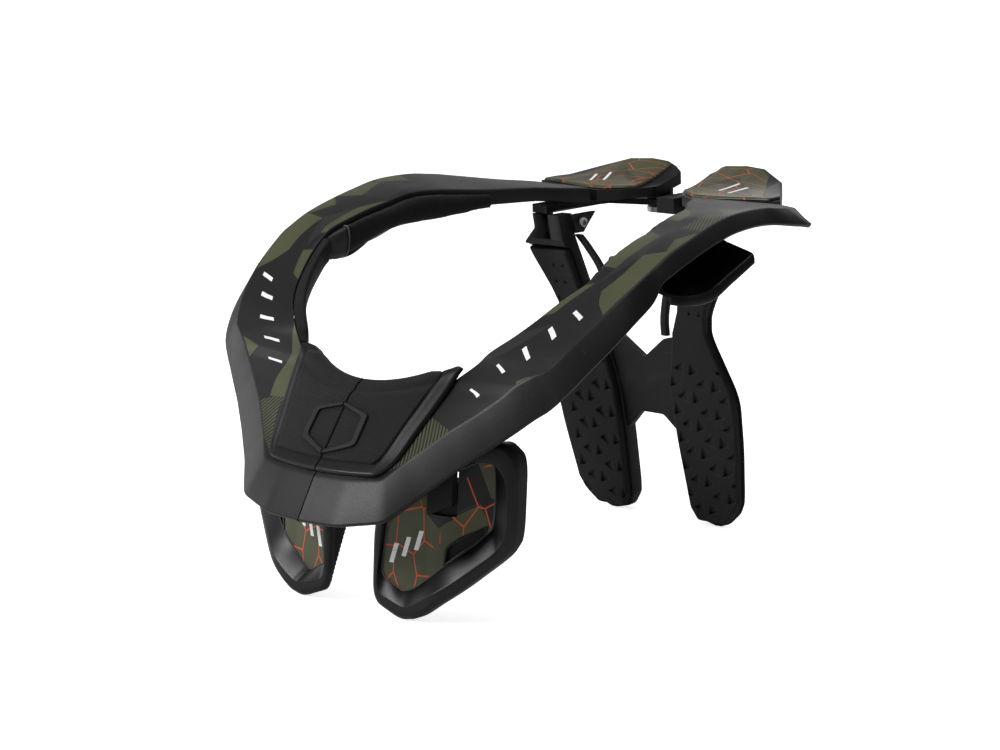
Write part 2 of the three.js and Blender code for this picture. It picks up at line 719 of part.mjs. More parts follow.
// The web between the legs, with a notch above and an arch below. Columns: x, z.
const webOutline = [
  [-0.16, 0.24], [-0.06, 0.305], [0.06, 0.305], [0.16, 0.24], [0.23, 0.3],
  [0.23, 0.54], [0.12, 0.53], [0, 0.468], [-0.12, 0.53], [-0.23, 0.54], [-0.23, 0.3],
];
const webSet = 6;
const webWall = 4.5;
function strutWeb() {
  const ring = (back) => webOutline.map(([x, z]) => (
    new THREE.Vector3(x * halfWidth, strutFaceY(z) + back, z * height)
  ));
  return loft([ring(webSet), ring(webSet + webWall)]);
}

function strutFrame() {
  const leg = strutLeg();
  return join(leg, mirrored(leg), strutWeb());
}

// Leg pad: a layer on the leg's face with columns of three-sided dimples of two kinds in turn.
const dimpleColumns = [24.5, 38.3, 52.1];
const dimpleShift = 5.6;      // how far the second kind stands beside the first
const dimplePitch = 7.7;      // from one dimple to the next above it
const dimpleLow = 10;
const dimpleHigh = 88;
const dimpleReach = 3.6;      // from a dimple's middle to its corners
const dimpleFloor = 0.45;     // its floor's size as a share of its mouth's
const dimpleRise = 0.8;       // how far the cutting tool begins before the face
const dimpleDepth = 1.6;
const dimpleEdge = 5.5;       // least distance from a dimple's middle to the leg's side
function dimple(x, z, turn) {
  const ring = (scale, back) => [0, 1, 2].map((corner) => {
    const angle = turn + (corner * 2 * Math.PI) / 3;
    const cornerZ = z + Math.sin(angle) * scale;
    return new THREE.Vector3(x + Math.cos(angle) * scale, strutFaceY(cornerZ / height) + back, cornerZ);
  });
  return loft([ring(dimpleReach * 1.2, -dimpleRise), ring(dimpleReach * dimpleFloor, dimpleDepth)]);
}
function legPad() {
  const zValues = [padBottom, ...legRows.map(([z]) => z).filter((z) => z > padBottom && z < padTop), padTop];
  const layer = loft(zValues.map((z) => legRing(z, border, 0, legPadWall, legPadWall)));
  const dimples = [];
  dimpleColumns.forEach((column, number) => {
    for (let z = dimpleLow, row = 0; z < dimpleHigh; z += dimplePitch, row += 1) {
      const kind = (row + number) % 2;
      const x = column + kind * dimpleShift;
      const inner = lookUp(legRows, 1, z / height) * halfWidth;
      const outer = lookUp(legRows, 2, z / height) * halfWidth;
      if (x > inner + dimpleEdge && x < outer - dimpleEdge) {
        dimples.push(dimple(x, z, kind * Math.PI));
      }
    }
  });
  return cut(layer, ...dimples);
}

// Bracket and screw at the top of each leg.
const earX = 0.3;
const earWall = 2.4;
// Columns: y, z.
const earOutline = [[0.62, strutTop], [0.68, strutTop], [0.66, 0.826], [0.648, 0.805], [0.625, 0.805]];
function strutBracket() {
  const ring = (x) => earOutline.map(([y, z]) => new THREE.Vector3(x, y * depth, z * height));
  const outerFace = earX * halfWidth;
  return loft([ring(outerFace - earWall), ring(outerFace)]);
}
const screwY = 0.64;
const screwZ = 0.835;
const screwRadius = 2.6;
const screwLength = 2.2;
const screwSides = 20;
function strutScrew() {
  const x = earX * halfWidth - earWall - clearance - screwLength / 2;
  return new THREE.CylinderGeometry(screwRadius, screwRadius, screwLength, screwSides)
    .rotateZ(Math.PI / 2)
    .translate(x, screwY * depth, screwZ * height);
}

// Link: a slim bar from the carrier's arm down to the web.
// Columns: x, y, z of the bar's middle.
const linkPath = [
  [0.285, 0.635, 0.8],
  [0.24, 0.64, 0.762],
  [0.18, 0.645, 0.7],
  [0.14, 0.65, 0.6],
  [0.132, 0.655, 0.54],
];
const linkHalf = 2.2;
const linkFlat = 0.7;       // its thickness from front to back as a share of its width
function strutLink() {
  return loft(linkPath.map(([x, y, z]) => {
    const middle = at(x, y, z);
    return [[-1, -1], [1, -1], [1, 1], [-1, 1]].map(([side, back]) => (
      middle.clone().add(new THREE.Vector3(side * linkHalf, back * linkHalf * linkFlat, 0))
    ));
  }));
}

addPair('arm_shell', wallSolid(armGrid(), shellWall), materials.camo);
addPair('collar_liner', collarLiner(), materials.rubber);
addPair('front_frame', frontFrame(), materials.plastic);
addPair('front_pad', frontPad(), materials.textile);
addPair('front_emblem', frontEmblem(), materials.rubber);
addPair('shoulder_pad', shoulderPad(), materials.textile);
addPair('shoulder_shell', shoulderShell(), materials.plastic);
addPair('chest_bracket', chestBracket(), materials.plastic);
addPair('chest_frame', chestFrame(), materials.plastic);
addPair('chest_plate', chestPlate(), materials.decal);
addPair('chest_pad', chestPad(), materials.textile);
addPair('wing_body', wingBody(), materials.plastic);
addPair('wing_plate', wingPlate(), materials.decal);
addPair('hinge_pin', hingePin(), materials.steel);
addPair('strut_bracket', strutBracket(), materials.plastic);
addPair('strut_screw', strutScrew(), materials.steel);
addPair('leg_pad', legPad(), materials.rubber);
addPair('strut_link', strutLink(), materials.plastic);
addPiece('rear_carrier', rearCarrier(), materials.plastic);
addPiece('strut_frame', strutFrame(), materials.plastic);

// The origin lies under the middle of the whole brace, on the floor.
const bounds = new THREE.Box3().setFromObject(brace);
const middle = bounds.getCenter(new THREE.Vector3());
brace.children.forEach((mesh) => mesh.geometry.translate(-middle.x, -middle.y, -bounds.min.z));

export default brace;
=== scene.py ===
import math

import bpy
import numpy as np
from mathutils import Matrix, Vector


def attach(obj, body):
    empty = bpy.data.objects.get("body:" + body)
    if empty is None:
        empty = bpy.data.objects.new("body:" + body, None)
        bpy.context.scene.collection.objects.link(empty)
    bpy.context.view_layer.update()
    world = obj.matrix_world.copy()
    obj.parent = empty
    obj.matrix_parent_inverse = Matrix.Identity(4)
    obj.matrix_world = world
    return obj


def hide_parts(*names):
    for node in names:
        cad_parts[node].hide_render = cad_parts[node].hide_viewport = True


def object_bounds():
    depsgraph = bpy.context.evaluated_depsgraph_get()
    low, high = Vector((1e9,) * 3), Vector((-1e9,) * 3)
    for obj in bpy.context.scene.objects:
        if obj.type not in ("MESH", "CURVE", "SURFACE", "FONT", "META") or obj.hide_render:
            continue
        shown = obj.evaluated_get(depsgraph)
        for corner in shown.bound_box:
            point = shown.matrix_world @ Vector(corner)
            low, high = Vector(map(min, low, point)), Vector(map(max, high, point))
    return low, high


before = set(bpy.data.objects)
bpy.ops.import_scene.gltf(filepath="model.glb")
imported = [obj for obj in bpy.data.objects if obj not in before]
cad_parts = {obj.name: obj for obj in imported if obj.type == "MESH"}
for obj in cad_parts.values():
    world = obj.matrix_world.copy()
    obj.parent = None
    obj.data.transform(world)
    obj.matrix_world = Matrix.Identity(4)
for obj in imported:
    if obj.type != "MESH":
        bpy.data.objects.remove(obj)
cad_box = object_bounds()

# Sizes in metres. The tables hold shares of the half width, the depth and the height.
MM = 0.001
HALF_WIDTH = 0.130
DEPTH = 0.296
HEIGHT = 0.190
SIZE = np.array([HALF_WIDTH, DEPTH, HEIGHT])
WING_BACK = 0.822
SHIFT = np.array([0.0, cad_box[1].y - WING_BACK * DEPTH, 0.0])
SHELL_WALL = 2.6 * MM
CLEARANCE = 0.3 * MM
SEAM_GAP = 0.8 * MM
HALVES = (("r", 1.0, "right_half"), ("l", -1.0, "left_half"))
SIDES = (("r", 1.0), ("l", -1.0))


# Camera, at the photograph's angle
CAMERA_PLACE = (1.02618, -1.06322, 0.38553)
CAMERA_RIGHT = (0.72034, 0.69305, -0.0282)
CAMERA_UP = (-0.11361, 0.15799, 0.98088)
CAMERA_FORWARD = (-0.68426, 0.70336, -0.19255)
LENS = 108
SENSOR_WIDTH = 36


def make_camera():
    data = bpy.data.cameras.new("camera")
    data.lens = LENS
    data.sensor_width = SENSOR_WIDTH
    camera = bpy.data.objects.new("camera", data)
    bpy.context.scene.collection.objects.link(camera)
    axes = Matrix((CAMERA_RIGHT, CAMERA_UP, tuple(-x for x in CAMERA_FORWARD))).transposed()
    camera.matrix_world = Matrix.Translation(CAMERA_PLACE) @ axes.to_4x4()
    bpy.context.scene.camera = camera


make_camera()


# Points and curves
def place(shares):
    """Shares of the half width, the depth and the height as points in the frame, in metres."""
    return np.asarray(shares, float) * SIZE + SHIFT


def flowing(rows, places):
    """A table read between its rows on a Catmull-Rom curve: a smooth cubic through every row."""
    rows = np.asarray(rows, float)
    places = np.clip(np.asarray(places, float), 0, len(rows) - 1)
    low = np.minimum(places.astype(int), len(rows) - 2)
    t = (places - low)[:, None]
    a = rows[np.maximum(low - 1, 0)]
    b = rows[low]
    c = rows[low + 1]
    d = rows[np.minimum(low + 2, len(rows) - 1)]
    return 0.5 * (2 * b + (c - a) * t + (2 * a - 5 * b + 4 * c - d) * t**2 + (3 * b - a - 3 * c + d) * t**3)


def straight(rows, places):
    """A table read between its rows along straight lines."""
    rows = np.asarray(rows, float)
    places = np.clip(np.asarray(places, float), 0, len(rows) - 1)
    return np.stack([np.interp(places, np.arange(len(rows)), column) for column in rows.T], axis=1)


def eased(rows, places, reach):
    """A table read along straight lines whose corners are rounded: within reach of a row, the
    quadratic curve from the point before it to the point after it, with the row as its control."""
    rows = np.asarray(rows, float)
    places = np.asarray(places, float)
    corner = np.clip(np.round(places), 1, len(rows) - 2)
    t = np.clip((places - corner + reach) / (2 * reach), 0, 1)[:, None]
    before = straight(rows, corner - reach)
    after = straight(rows, corner + reach)
    middle = straight(rows, corner)
    curve = before * (1 - t) ** 2 + 2 * middle * t * (1 - t) + after * t**2
    near = np.abs(places - corner)[:, None] < reach
    return np.where(near, curve, straight(rows, places))


def read_at(table, column, keys):
    """One column of a table where its first column has the given values, along straight lines."""
    table = np.asarray(table, float)
    return np.interp(keys, table[:, 0], table[:, column])


def ramp(value, low, high):
    """0 below low, 1 above high, and a smooth step between."""
    t = np.clip((value - low) / (high - low), 0, 1)
    return t * t * (3 - 2 * t)


def unit(vectors):
    return vectors / np.maximum(np.linalg.norm(vectors, axis=-1, keepdims=True), 1e-12)


def inset(grid, distance):
    """A grid of points (rows, columns, 3) moved inwards, mitred between the strips on both sides
    of each column: the sum of the two strips' normals over one plus their product."""
    along = np.gradient(grid, axis=0)
    strips = unit(np.cross(np.diff(grid, axis=1), along[:, 1:] + along[:, :-1]))
    first = np.concatenate([strips[:, :1], strips], axis=1)
    second = np.concatenate([strips, strips[:, -1:]], axis=1)
    product = np.sum(first * second, axis=-1, keepdims=True)
    return grid - distance * (first + second) / (1 + product)


def rounded(corners, radii, steps=3):
    """Closed rings (rings, corners, channels) with each corner turned into a quadratic curve that
    starts and ends one radius away from it along its two edges, at most 0.45 of the edge."""
    before = np.roll(corners, 1, axis=1) - corners
    after = np.roll(corners, -1, axis=1) - corners
    radii = np.broadcast_to(np.asarray(radii, float), corners.shape[:2])

    def share(edge):
        length = np.maximum(np.linalg.norm(edge[..., :3], axis=-1), 1e-9)
        return (np.minimum(radii, 0.45 * length) / length)[..., None]

    start = (corners + before * share(before))[:, :, None]
    end = (corners + after * share(after))[:, :, None]
    t = np.linspace(0, 1, steps + 1)[None, None, :, None]
    curve = start * (1 - t) ** 2 + 2 * corners[:, :, None] * t * (1 - t) + end * t**2
    return curve.reshape(len(corners), -1, corners.shape[2])


# Meshes
def mesh_of(name, points, faces, corner_uv=None, smooth_angle=40):
    """A mesh of quads whose faces point outwards, told by the sign of the enclosed volume."""
    triangles = points[np.concatenate([faces[:, [0, 1, 2]], faces[:, [0, 2, 3]]])]
    volume = np.sum(triangles[:, 0] * np.cross(triangles[:, 1], triangles[:, 2]))
    if volume < 0:
        faces = faces[:, ::-1]
        corner_uv = None if corner_uv is None else corner_uv[:, ::-1]
    mesh = bpy.data.meshes.new(name)
    mesh.vertices.add(len(points))
    mesh.vertices.foreach_set("co", points.astype(np.float32).ravel())
    mesh.loops.add(faces.size)
    mesh.loops.foreach_set("vertex_index", faces.astype(np.int32).ravel())
    mesh.polygons.add(len(faces))
    mesh.polygons.foreach_set("loop_start", np.arange(0, faces.size, 4, dtype=np.int32))
    mesh.update(calc_edges=True)
    if corner_uv is not None:
        layer = mesh.uv_layers.new(name="skin")
        layer.data.foreach_set("uv", corner_uv.astype(np.float32).ravel())
    mesh.shade_smooth()
    mesh.set_sharp_from_angle(angle=math.radians(smooth_angle))
    return mesh


def solid(name, rings, uv=None, closed=False, smooth_angle=40):
    """A closed solid through rings of points (rings, points, 3). Where it isn't closed on itself,
    each end is a strip of quads between the first and the last half of its ring."""
    count, size = rings.shape[:2]
    rows = np.arange(count if closed else count - 1)[:, None]
    columns = np.arange(size)[None, :]
    next_row = (rows + 1) % count
    next_column = (columns + 1) % size
    faces = np.stack([
        rows * size + columns,
        rows * size + next_column,
        next_row * size + next_column,
        next_row * size + columns,
    ], axis=-1).reshape(-1, 4)
    ends = np.zeros((0, 4), int)
    if not closed:
        i = np.arange(size // 2 - 1)
        strip = np.stack([i, size - 1 - i, size - 2 - i, i + 1], axis=-1)
        ends = np.concatenate([strip, (count - 1) * size + strip[:, ::-1]])
    corner_uv = None
    if uv is not None:
        corner_uv = uv.reshape(-1, 2)[faces]
        wrap = np.nonzero((faces[:, 1] % size == 0) & (faces[:, 0] % size == size - 1))[0]
        corner_uv[wrap, 1] = corner_uv[wrap, 0]
        corner_uv[wrap, 2] = corner_uv[wrap, 3]
        corner_uv = np.concatenate([corner_uv, uv.reshape(-1, 2)[ends]])
    return mesh_of(name, rings.reshape(-1, 3), np.concatenate([faces, ends]), corner_uv, smooth_angle)


def slab(name, front, back, uv=None, smooth_angle=40):
    """A closed layer between two grids of as many points, such as a plate or a pad."""
    both = None if uv is None else np.concatenate([uv, uv[:, ::-1]], axis=1)
    return solid(name, np.concatenate([front, back[:, ::-1]], axis=1), both, smooth_angle=smooth_angle)


def turned(name, centre, profile, sides=48):
    """A closed profile of (radius, height) in millimetres turned round an upright axis."""
    profile = np.asarray(profile, float) * MM
    angles = np.linspace(0, 2 * np.pi, sides, endpoint=False)[:, None]
    rings = np.stack([
        centre[0] + profile[:, 0] * np.cos(angles),
        centre[1] + profile[:, 0] * np.sin(angles),
        centre[2] + profile[:, 1] + 0 * angles,
    ], axis=-1)
    return solid(name, rings, closed=True)


def flipped(points, sign):
    """The +X piece as it is, or its mirror image on the other side."""
    return points * np.array([sign, 1.0, 1.0])


def add_piece(mesh, body, material, replaced=()):
    piece = bpy.data.objects.new(mesh.name, mesh)
    bpy.context.scene.collection.objects.link(piece)
    mesh.materials.append(material)
    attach(piece, body)
    if replaced:
        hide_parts(*replaced)
    return piece


def add_bevel(piece, width, segments=3, angle=35):
    bevel = piece.modifiers.new("edges", "BEVEL")
    bevel.width = width
    bevel.segments = segments
    bevel.limit_method = "ANGLE"
    bevel.angle_limit = math.radians(angle)
    bevel.harden_normals = True


def cut_out(piece, tool_mesh):
    """Takes the tool's solid out of the piece."""
    tool = bpy.data.objects.new("tool", tool_mesh)
    bpy.context.scene.collection.objects.link(tool)
    cutter = piece.modifiers.new("cut", "BOOLEAN")
    cutter.operation = "DIFFERENCE"
    cutter.solver = "EXACT"
    cutter.object = tool
    apply_modifiers(piece)
    bpy.data.objects.remove(tool)


def apply_modifiers(piece):
    """The piece's mesh as its modifiers leave it."""
    evaluated = piece.evaluated_get(bpy.context.evaluated_depsgraph_get())
    mesh = bpy.data.meshes.new_from_object(evaluated)
    piece.modifiers.clear()
    old = piece.data
    piece.data = mesh
    bpy.data.meshes.remove(old)
    mesh.name = piece.name


# Shader nodes
def add_node(tree, kind, inputs=None, **settings):
    node = tree.nodes.new(kind)
    for name, value in settings.items():
        setattr(node, name, value)
    for name, value in (inputs or {}).items():
        if isinstance(value, bpy.types.NodeSocket):
            tree.links.new(value, node.inputs[name])
        else:
            node.inputs[name].default_value = value
    return node


def calc(tree, operation, first, second=0.0):
    return add_node(tree, "ShaderNodeMath", {0: first, 1: second}, operation=operation).outputs[0]


def blend_colour(tree, factor, low, high, blend="MIX"):
    mix = add_node(tree, "ShaderNodeMix", {0: factor, 6: low, 7: high}, data_type="RGBA", blend_type=blend)
    return mix.outputs[2]


def between(tree, value, low, high):
    """The value, from 0 to 1, stretched to run from low to high."""
    node = add_node(tree, "ShaderNodeMapRange", {"Value": value, "To Min": low, "To Max": high})
    return node.outputs["Result"]


def new_group(name, inputs, outputs):
    """A shader node group with named sockets; gives it with its inner input and output sockets."""
    group = bpy.data.node_groups.new(name, "ShaderNodeTree")
    for label, kind, default in inputs:
        group.interface.new_socket(name=label, in_out="INPUT", socket_type=kind).default_value = default
    for label, kind in outputs:
        group.interface.new_socket(name=label, in_out="OUTPUT", socket_type=kind)
    start = group.nodes.new("NodeGroupInput")
    end = group.nodes.new("NodeGroupOutput")
    return group, start.outputs, end.inputs


def use_group(tree, group, inputs):
    node = add_node(tree, "ShaderNodeGroup", node_tree=group)
    for name, value in inputs.items():
        if isinstance(value, bpy.types.NodeSocket):
            tree.links.new(value, node.inputs[name])
        else:
            node.inputs[name].default_value = value
    return node.outputs


def make_grain_group():
    """Moulded or printed grain: two sizes of noise as a height, and a slow shade over the piece."""
    group, start, end = new_group(
        "moulded_grain",
        [("Vector", "NodeSocketVector", (0, 0, 0)), ("Scale", "NodeSocketFloat", 1500.0)],
        [("Height", "NodeSocketFloat"), ("Shade", "NodeSocketFloat")],
    )
    fine = add_node(group, "ShaderNodeTexNoise", {"Vector": start["Vector"], "Scale": start["Scale"]})
    fine.inputs["Detail"].default_value = 2.0
    wide_scale = calc(group, "MULTIPLY", start["Scale"], 0.03)
    wide = add_node(group, "ShaderNodeTexNoise", {"Vector": start["Vector"], "Scale": wide_scale})
    group.links.new(fine.outputs["Fac"], end["Height"])
    group.links.new(wide.outputs["Fac"], end["Shade"])
    return group


def make_scuff_group():
    """Thin handling marks: noise stretched along one way, kept only where it is highest."""
    group, start, end = new_group(
        "handling_scuffs",
        [("Vector", "NodeSocketVector", (0, 0, 0)), ("Amount", "NodeSocketFloat", 0.5)],
        [("Mask", "NodeSocketFloat")],
    )
    turned_vector = add_node(group, "ShaderNodeMapping", {
        "Vector": start["Vector"], "Rotation": (0.4, 0.7, 0.9), "Scale": (40, 900, 300)})
    noise = add_node(group, "ShaderNodeTexNoise", {"Vector": turned_vector.outputs[0], "Scale": 1.0})
    noise.inputs["Detail"].default_value = 3.0
    kept = add_node(group, "ShaderNodeMapRange", {
        "Value": noise.outputs["Fac"], "From Min": 0.66, "From Max": 0.8, "To Min": 0.0, "To Max": 1.0})
    mask = calc(group, "MULTIPLY", kept.outputs["Result"], start["Amount"])
    group.links.new(mask, end["Mask"])
    return group


def make_stripe_group():
    """Straight stripes: the way along Direction, over Pitch, with the first Width share painted."""
    group, start, end = new_group(
        "printed_stripes",
        [
            ("Vector", "NodeSocketVector", (0, 0, 0)),
            ("Direction", "NodeSocketVector", (1, 0, 0)),
            ("Pitch", "NodeSocketFloat", 0.002),
            ("Width", "NodeSocketFloat", 0.5),
        ],
        [("Mask", "NodeSocketFloat")],
    )
    way = add_node(group, "ShaderNodeVectorMath", {0: start["Vector"], 1: start["Direction"]},
                   operation="DOT_PRODUCT")
    share = calc(group, "FRACT", calc(group, "DIVIDE", way.outputs["Value"], start["Pitch"]))
    group.links.new(calc(group, "LESS_THAN", share, start["Width"]), end["Mask"])
    return group


EDGE_NAMES = ("Edge 1", "Edge 2", "Edge 3", "Edge 4")


def make_patch_group():
    """A four-cornered patch: 1 where the spot lies on the inner side of all four edges. An edge is
    (a, b, c), and its inner side is where a u + b v + c is above nought."""
    group, start, end = new_group(
        "printed_patch",
        [("Spot", "NodeSocketVector", (0, 0, 1))]
        + [(name, "NodeSocketVector", (0, 0, 1)) for name in EDGE_NAMES],
        [("Mask", "NodeSocketFloat")],
    )
    least = None
    for name in EDGE_NAMES:
        side = add_node(group, "ShaderNodeVectorMath", {0: start["Spot"], 1: start[name]},
                        operation="DOT_PRODUCT").outputs["Value"]
        least = side if least is None else calc(group, "MINIMUM", least, side)
    group.links.new(calc(group, "GREATER_THAN", least, 0.0), end["Mask"])
    return group


def make_net_group():
    """A net of thin lines: the borders between the cells of scattered points."""
    group, start, end = new_group(
        "line_net",
        [
            ("Vector", "NodeSocketVector", (0, 0, 0)),
            ("Scale", "NodeSocketFloat", 10.0),
            ("Width", "NodeSocketFloat", 0.03),
        ],
        [("Mask", "NodeSocketFloat")],
    )
    cells = add_node(group, "ShaderNodeTexVoronoi", {"Vector": start["Vector"], "Scale": start["Scale"]},
                     feature="DISTANCE_TO_EDGE", voronoi_dimensions="2D")
    cells.inputs["Randomness"].default_value = 0.85
    group.links.new(calc(group, "LESS_THAN", cells.outputs["Distance"], start["Width"]), end["Mask"])
    return group


def make_weave_group():
    """A plain weave: threads over and under, as the product of two waves across each other."""
    group, start, end = new_group(
        "textile_weave",
        [("Vector", "NodeSocketVector", (0, 0, 0)), ("Pitch", "NodeSocketFloat", 0.0012)],
        [("Height", "NodeSocketFloat")],
    )
    turn = calc(group, "DIVIDE", 2 * math.pi, start["Pitch"])
    scaled = add_node(group, "ShaderNodeVectorMath", {0: start["Vector"]}, operation="SCALE")
    group.links.new(turn, scaled.inputs["Scale"])
    parts = add_node(group, "ShaderNodeSeparateXYZ", {0: scaled.outputs[0]}).outputs
    waves = [calc(group, "SINE", part) for part in parts]
    height = calc(group, "MULTIPLY", calc(group, "ADD", waves[0], waves[1]), waves[2])
    group.links.new(between(group, height, 0.5, 0.9), end["Height"])
    return group


GRAIN = make_grain_group()
SCUFFS = make_scuff_group()
STRIPES = make_stripe_group()
PATCH = make_patch_group()
NET = make_net_group()
WEAVE = make_weave_group()


def patch_mask(tree, spot, patches):
    """1 inside any of the patches, each given by its four corners."""
    mask = None
    for corners in patches:
        corners = np.asarray(corners, float)
        after = np.roll(corners, -1, axis=0)
        turn = np.sign(np.sum(corners[:, 0] * after[:, 1] - corners[:, 1] * after[:, 0]))
        way = (after - corners) * turn
        offset = way[:, 1] * corners[:, 0] - way[:, 0] * corners[:, 1]
        edges = np.stack([-way[:, 1], way[:, 0], offset], axis=1)
        inputs = {"Spot": spot, **{name: tuple(edge) for name, edge in zip(EDGE_NAMES, edges)}}
        inside = use_group(tree, PATCH, inputs)["Mask"]
        mask = inside if mask is None else calc(tree, "MAXIMUM", mask, inside)
    return mask


def new_material(name, roughness):
    """An empty material; gives it, its tree, its shader and the object and pattern coordinates."""
    material = bpy.data.materials.new(name)
    material.use_nodes = True
    tree = material.node_tree
    shader = tree.nodes["Principled BSDF"]
    shader.inputs["Roughness"].default_value = roughness
    shader.inputs["Specular IOR Level"].default_value = SHINE
    coordinates = tree.nodes.new("ShaderNodeTexCoord")
    return material, tree, shader, coordinates


SCUFF_GREY = (0.05, 0.05, 0.05, 1)
SCUFF_AMOUNT = 0.25
SCUFF_ROUGHNESS = 0.15
SHADE_CHANGE = 0.2
ROUGHNESS_CHANGE = 0.06
GRAIN_UNDER_WEAVE = 0.3


def finish_surface(tree, shader, coordinates, colour, roughness, grain_scale, depth, extra_height=None):
    """Grain, a slow change of shade and light scuffs over a colour, on the shader's own sockets."""
    vector = coordinates.outputs["Object"]
    grain = use_group(tree, GRAIN, {"Vector": vector, "Scale": grain_scale})
    scuffs = use_group(tree, SCUFFS, {"Vector": vector, "Amount": SCUFF_AMOUNT})
    shade = between(tree, grain["Shade"], 1 - SHADE_CHANGE, 1 + SHADE_CHANGE)
    flat = colour[:3] if isinstance(colour, tuple) else colour
    shaded = add_node(tree, "ShaderNodeVectorMath", {0: flat}, operation="SCALE")
    tree.links.new(shade, shaded.inputs["Scale"])
    worn = blend_colour(tree, scuffs["Mask"], shaded.outputs[0], SCUFF_GREY)
    tree.links.new(worn, shader.inputs["Base Color"])
    spread = between(tree, grain["Height"], roughness - ROUGHNESS_CHANGE, roughness + ROUGHNESS_CHANGE)
    rubbed = calc(tree, "MULTIPLY", scuffs["Mask"], SCUFF_ROUGHNESS)
    tree.links.new(calc(tree, "ADD", spread, rubbed), shader.inputs["Roughness"])
    height = grain["Height"]
    if extra_height is not None:
        height = calc(tree, "ADD", calc(tree, "MULTIPLY", height, GRAIN_UNDER_WEAVE), extra_height)
    bump = add_node(tree, "ShaderNodeBump", {"Height": height, "Strength": 1.0, "Distance": depth})
    tree.links.new(bump.outputs["Normal"], shader.inputs["Normal"])


def plain_finish(name, colour, roughness, grain_scale=1500, depth=0.03 * MM):
    material, tree, shader, coordinates = new_material(name, roughness)
    finish_surface(tree, shader, coordinates, colour, roughness, grain_scale, depth)
    return material


SHINE = 0.24            # specular level of every finish
PLAIN_BLACK = (0.007, 0.007, 0.008, 1)
OLIVE = (0.066, 0.07, 0.036, 1)
CAMO_BLACK = (0.01, 0.01, 0.011, 1)
CAMO_GREY = (0.022, 0.021, 0.021, 1)
PRINT_WHITE = (0.8, 0.8, 0.8, 1)
ORANGE = (0.6, 0.08, 0.025, 1)

# Patches of the print on each arm. A corner is (place along the arm, share across its top face).
OLIVE_RIGHT = [
    [(11.2, 0), (12.8, 0), (12.9, 0.17), (11.4, 0.16)],
    [(11, 1.02), (12.45, 0.5), (15.05, 0.55), (15.2, 1.02)],
    [(15.1, 1.02), (15.1, 0.88), (16, 0.72), (16.5, 1.02)],
    [(14.2, 0.02), (16.9, 0.02), (16.3, 0.38), (14, 0.27)],
    [(17.9, 0.04), (20, 0), (18.2, 0.3), (17.6, 0.3)],
    [(19.6, 0.3), (18.8, 1.02), (18.1, 1.02), (17.9, 0.85)],
    [(6.9, 1.02), (7.4, 0.9), (8, 0.97), (7.7, 1.02)],
]
HATCH_RIGHT = [
    [(2.1, 0.42), (4.8, 0), (4, 1.02), (2.8, 0.95)],
    [(16.9, 0.5), (18.1, 0.55), (18.2, 1.02), (16.5, 1.02)],
]
GREY_RIGHT = [
    [(12.6, 0.2), (14, 0.27), (16.4, 0.4), (15, 0.56)],
    [(16.9, 0), (17.9, 0.04), (17.4, 0.5), (16.3, 0.4)],
    [(18.6, 0.3), (20.3, 0.2), (20.6, 0.9), (19.6, 0.9)],
    [(8.2, 0), (10.2, 0), (10.8, 0.35), (9, 0.2)],
]
OLIVE_LEFT = [
    [(9.2, 0), (7.6, 0), (5.6, 0.08), (6, 0.3)],
    [(6, 0.3), (5.6, 0.02), (4.5, 0.15), (4.3, 0.62)],
    [(7.7, 1.02), (7, 0.76), (5.7, 1.02), (6.6, 1.05)],
    [(12.7, 0.23), (12.9, 0), (11.4, 0), (11.6, 0.16)],
    [(11, 1.02), (15, 1.02), (15.1, 0.48), (12.5, 0.55)],
    [(15, 1.02), (16.3, 1.02), (15.9, 0.7), (15.1, 0.88)],
    [(16.2, 1.02), (17.6, 1.02), (17.9, 0.8), (16.8, 0.6)],
    [(14.1, 0.13), (16.1, 0.22), (17.2, 0), (14.3, 0)],
    [(17.8, 1.02), (18.7, 1.02), (18.7, 0.6), (17.9, 0.82)],
]
HATCH_LEFT = [[(3.9, 1.02), (4.6, 0.2), (2.3, 0.7), (2.9, 1.02)]]
GREY_LEFT = [
    [(12.9, 0.2), (15.2, 0.46), (16.1, 0.24), (14.1, 0.13)],
    [(16.8, 0.6), (17.9, 0.8), (18.8, 0.3), (17.2, 0.05)],
]
MARKS_RIGHT = [(6.1, 0.5), (8.1, 0.42), (9.35, 0.48), (10.35, 0.5), (11.2, 0.58)]
MARKS_LEFT = [(6.1, 0.5), (7.7, 0.48), (9.2, 0.48), (10.2, 0.53), (11, 0.66)]
MARK_WIDTH = 0.09
MARK_REACH = 0.12
PRINT_FIRST = 0.01      # the print lies between these shares across the arm's top face
PRINT_LAST = 0.975


def mark_corners(spot, lean):
    """A slim slanted bar round a spot of the top face."""
    along, across = spot
    return [
        (along - lean - MARK_WIDTH, across - MARK_REACH),
        (along - lean + MARK_WIDTH, across - MARK_REACH),
        (along + lean + MARK_WIDTH, across + MARK_REACH),
        (along + lean - MARK_WIDTH, across + MARK_REACH),
    ]


def pattern_spot(tree, coordinates):
    """The piece's own pattern coordinates with 1 as the third, which the patches' edges need."""
    lifted = add_node(tree, "ShaderNodeVectorMath", {0: coordinates.outputs["UV"], 1: (0, 0, 1)},
                      operation="ADD")
    return lifted.outputs[0]


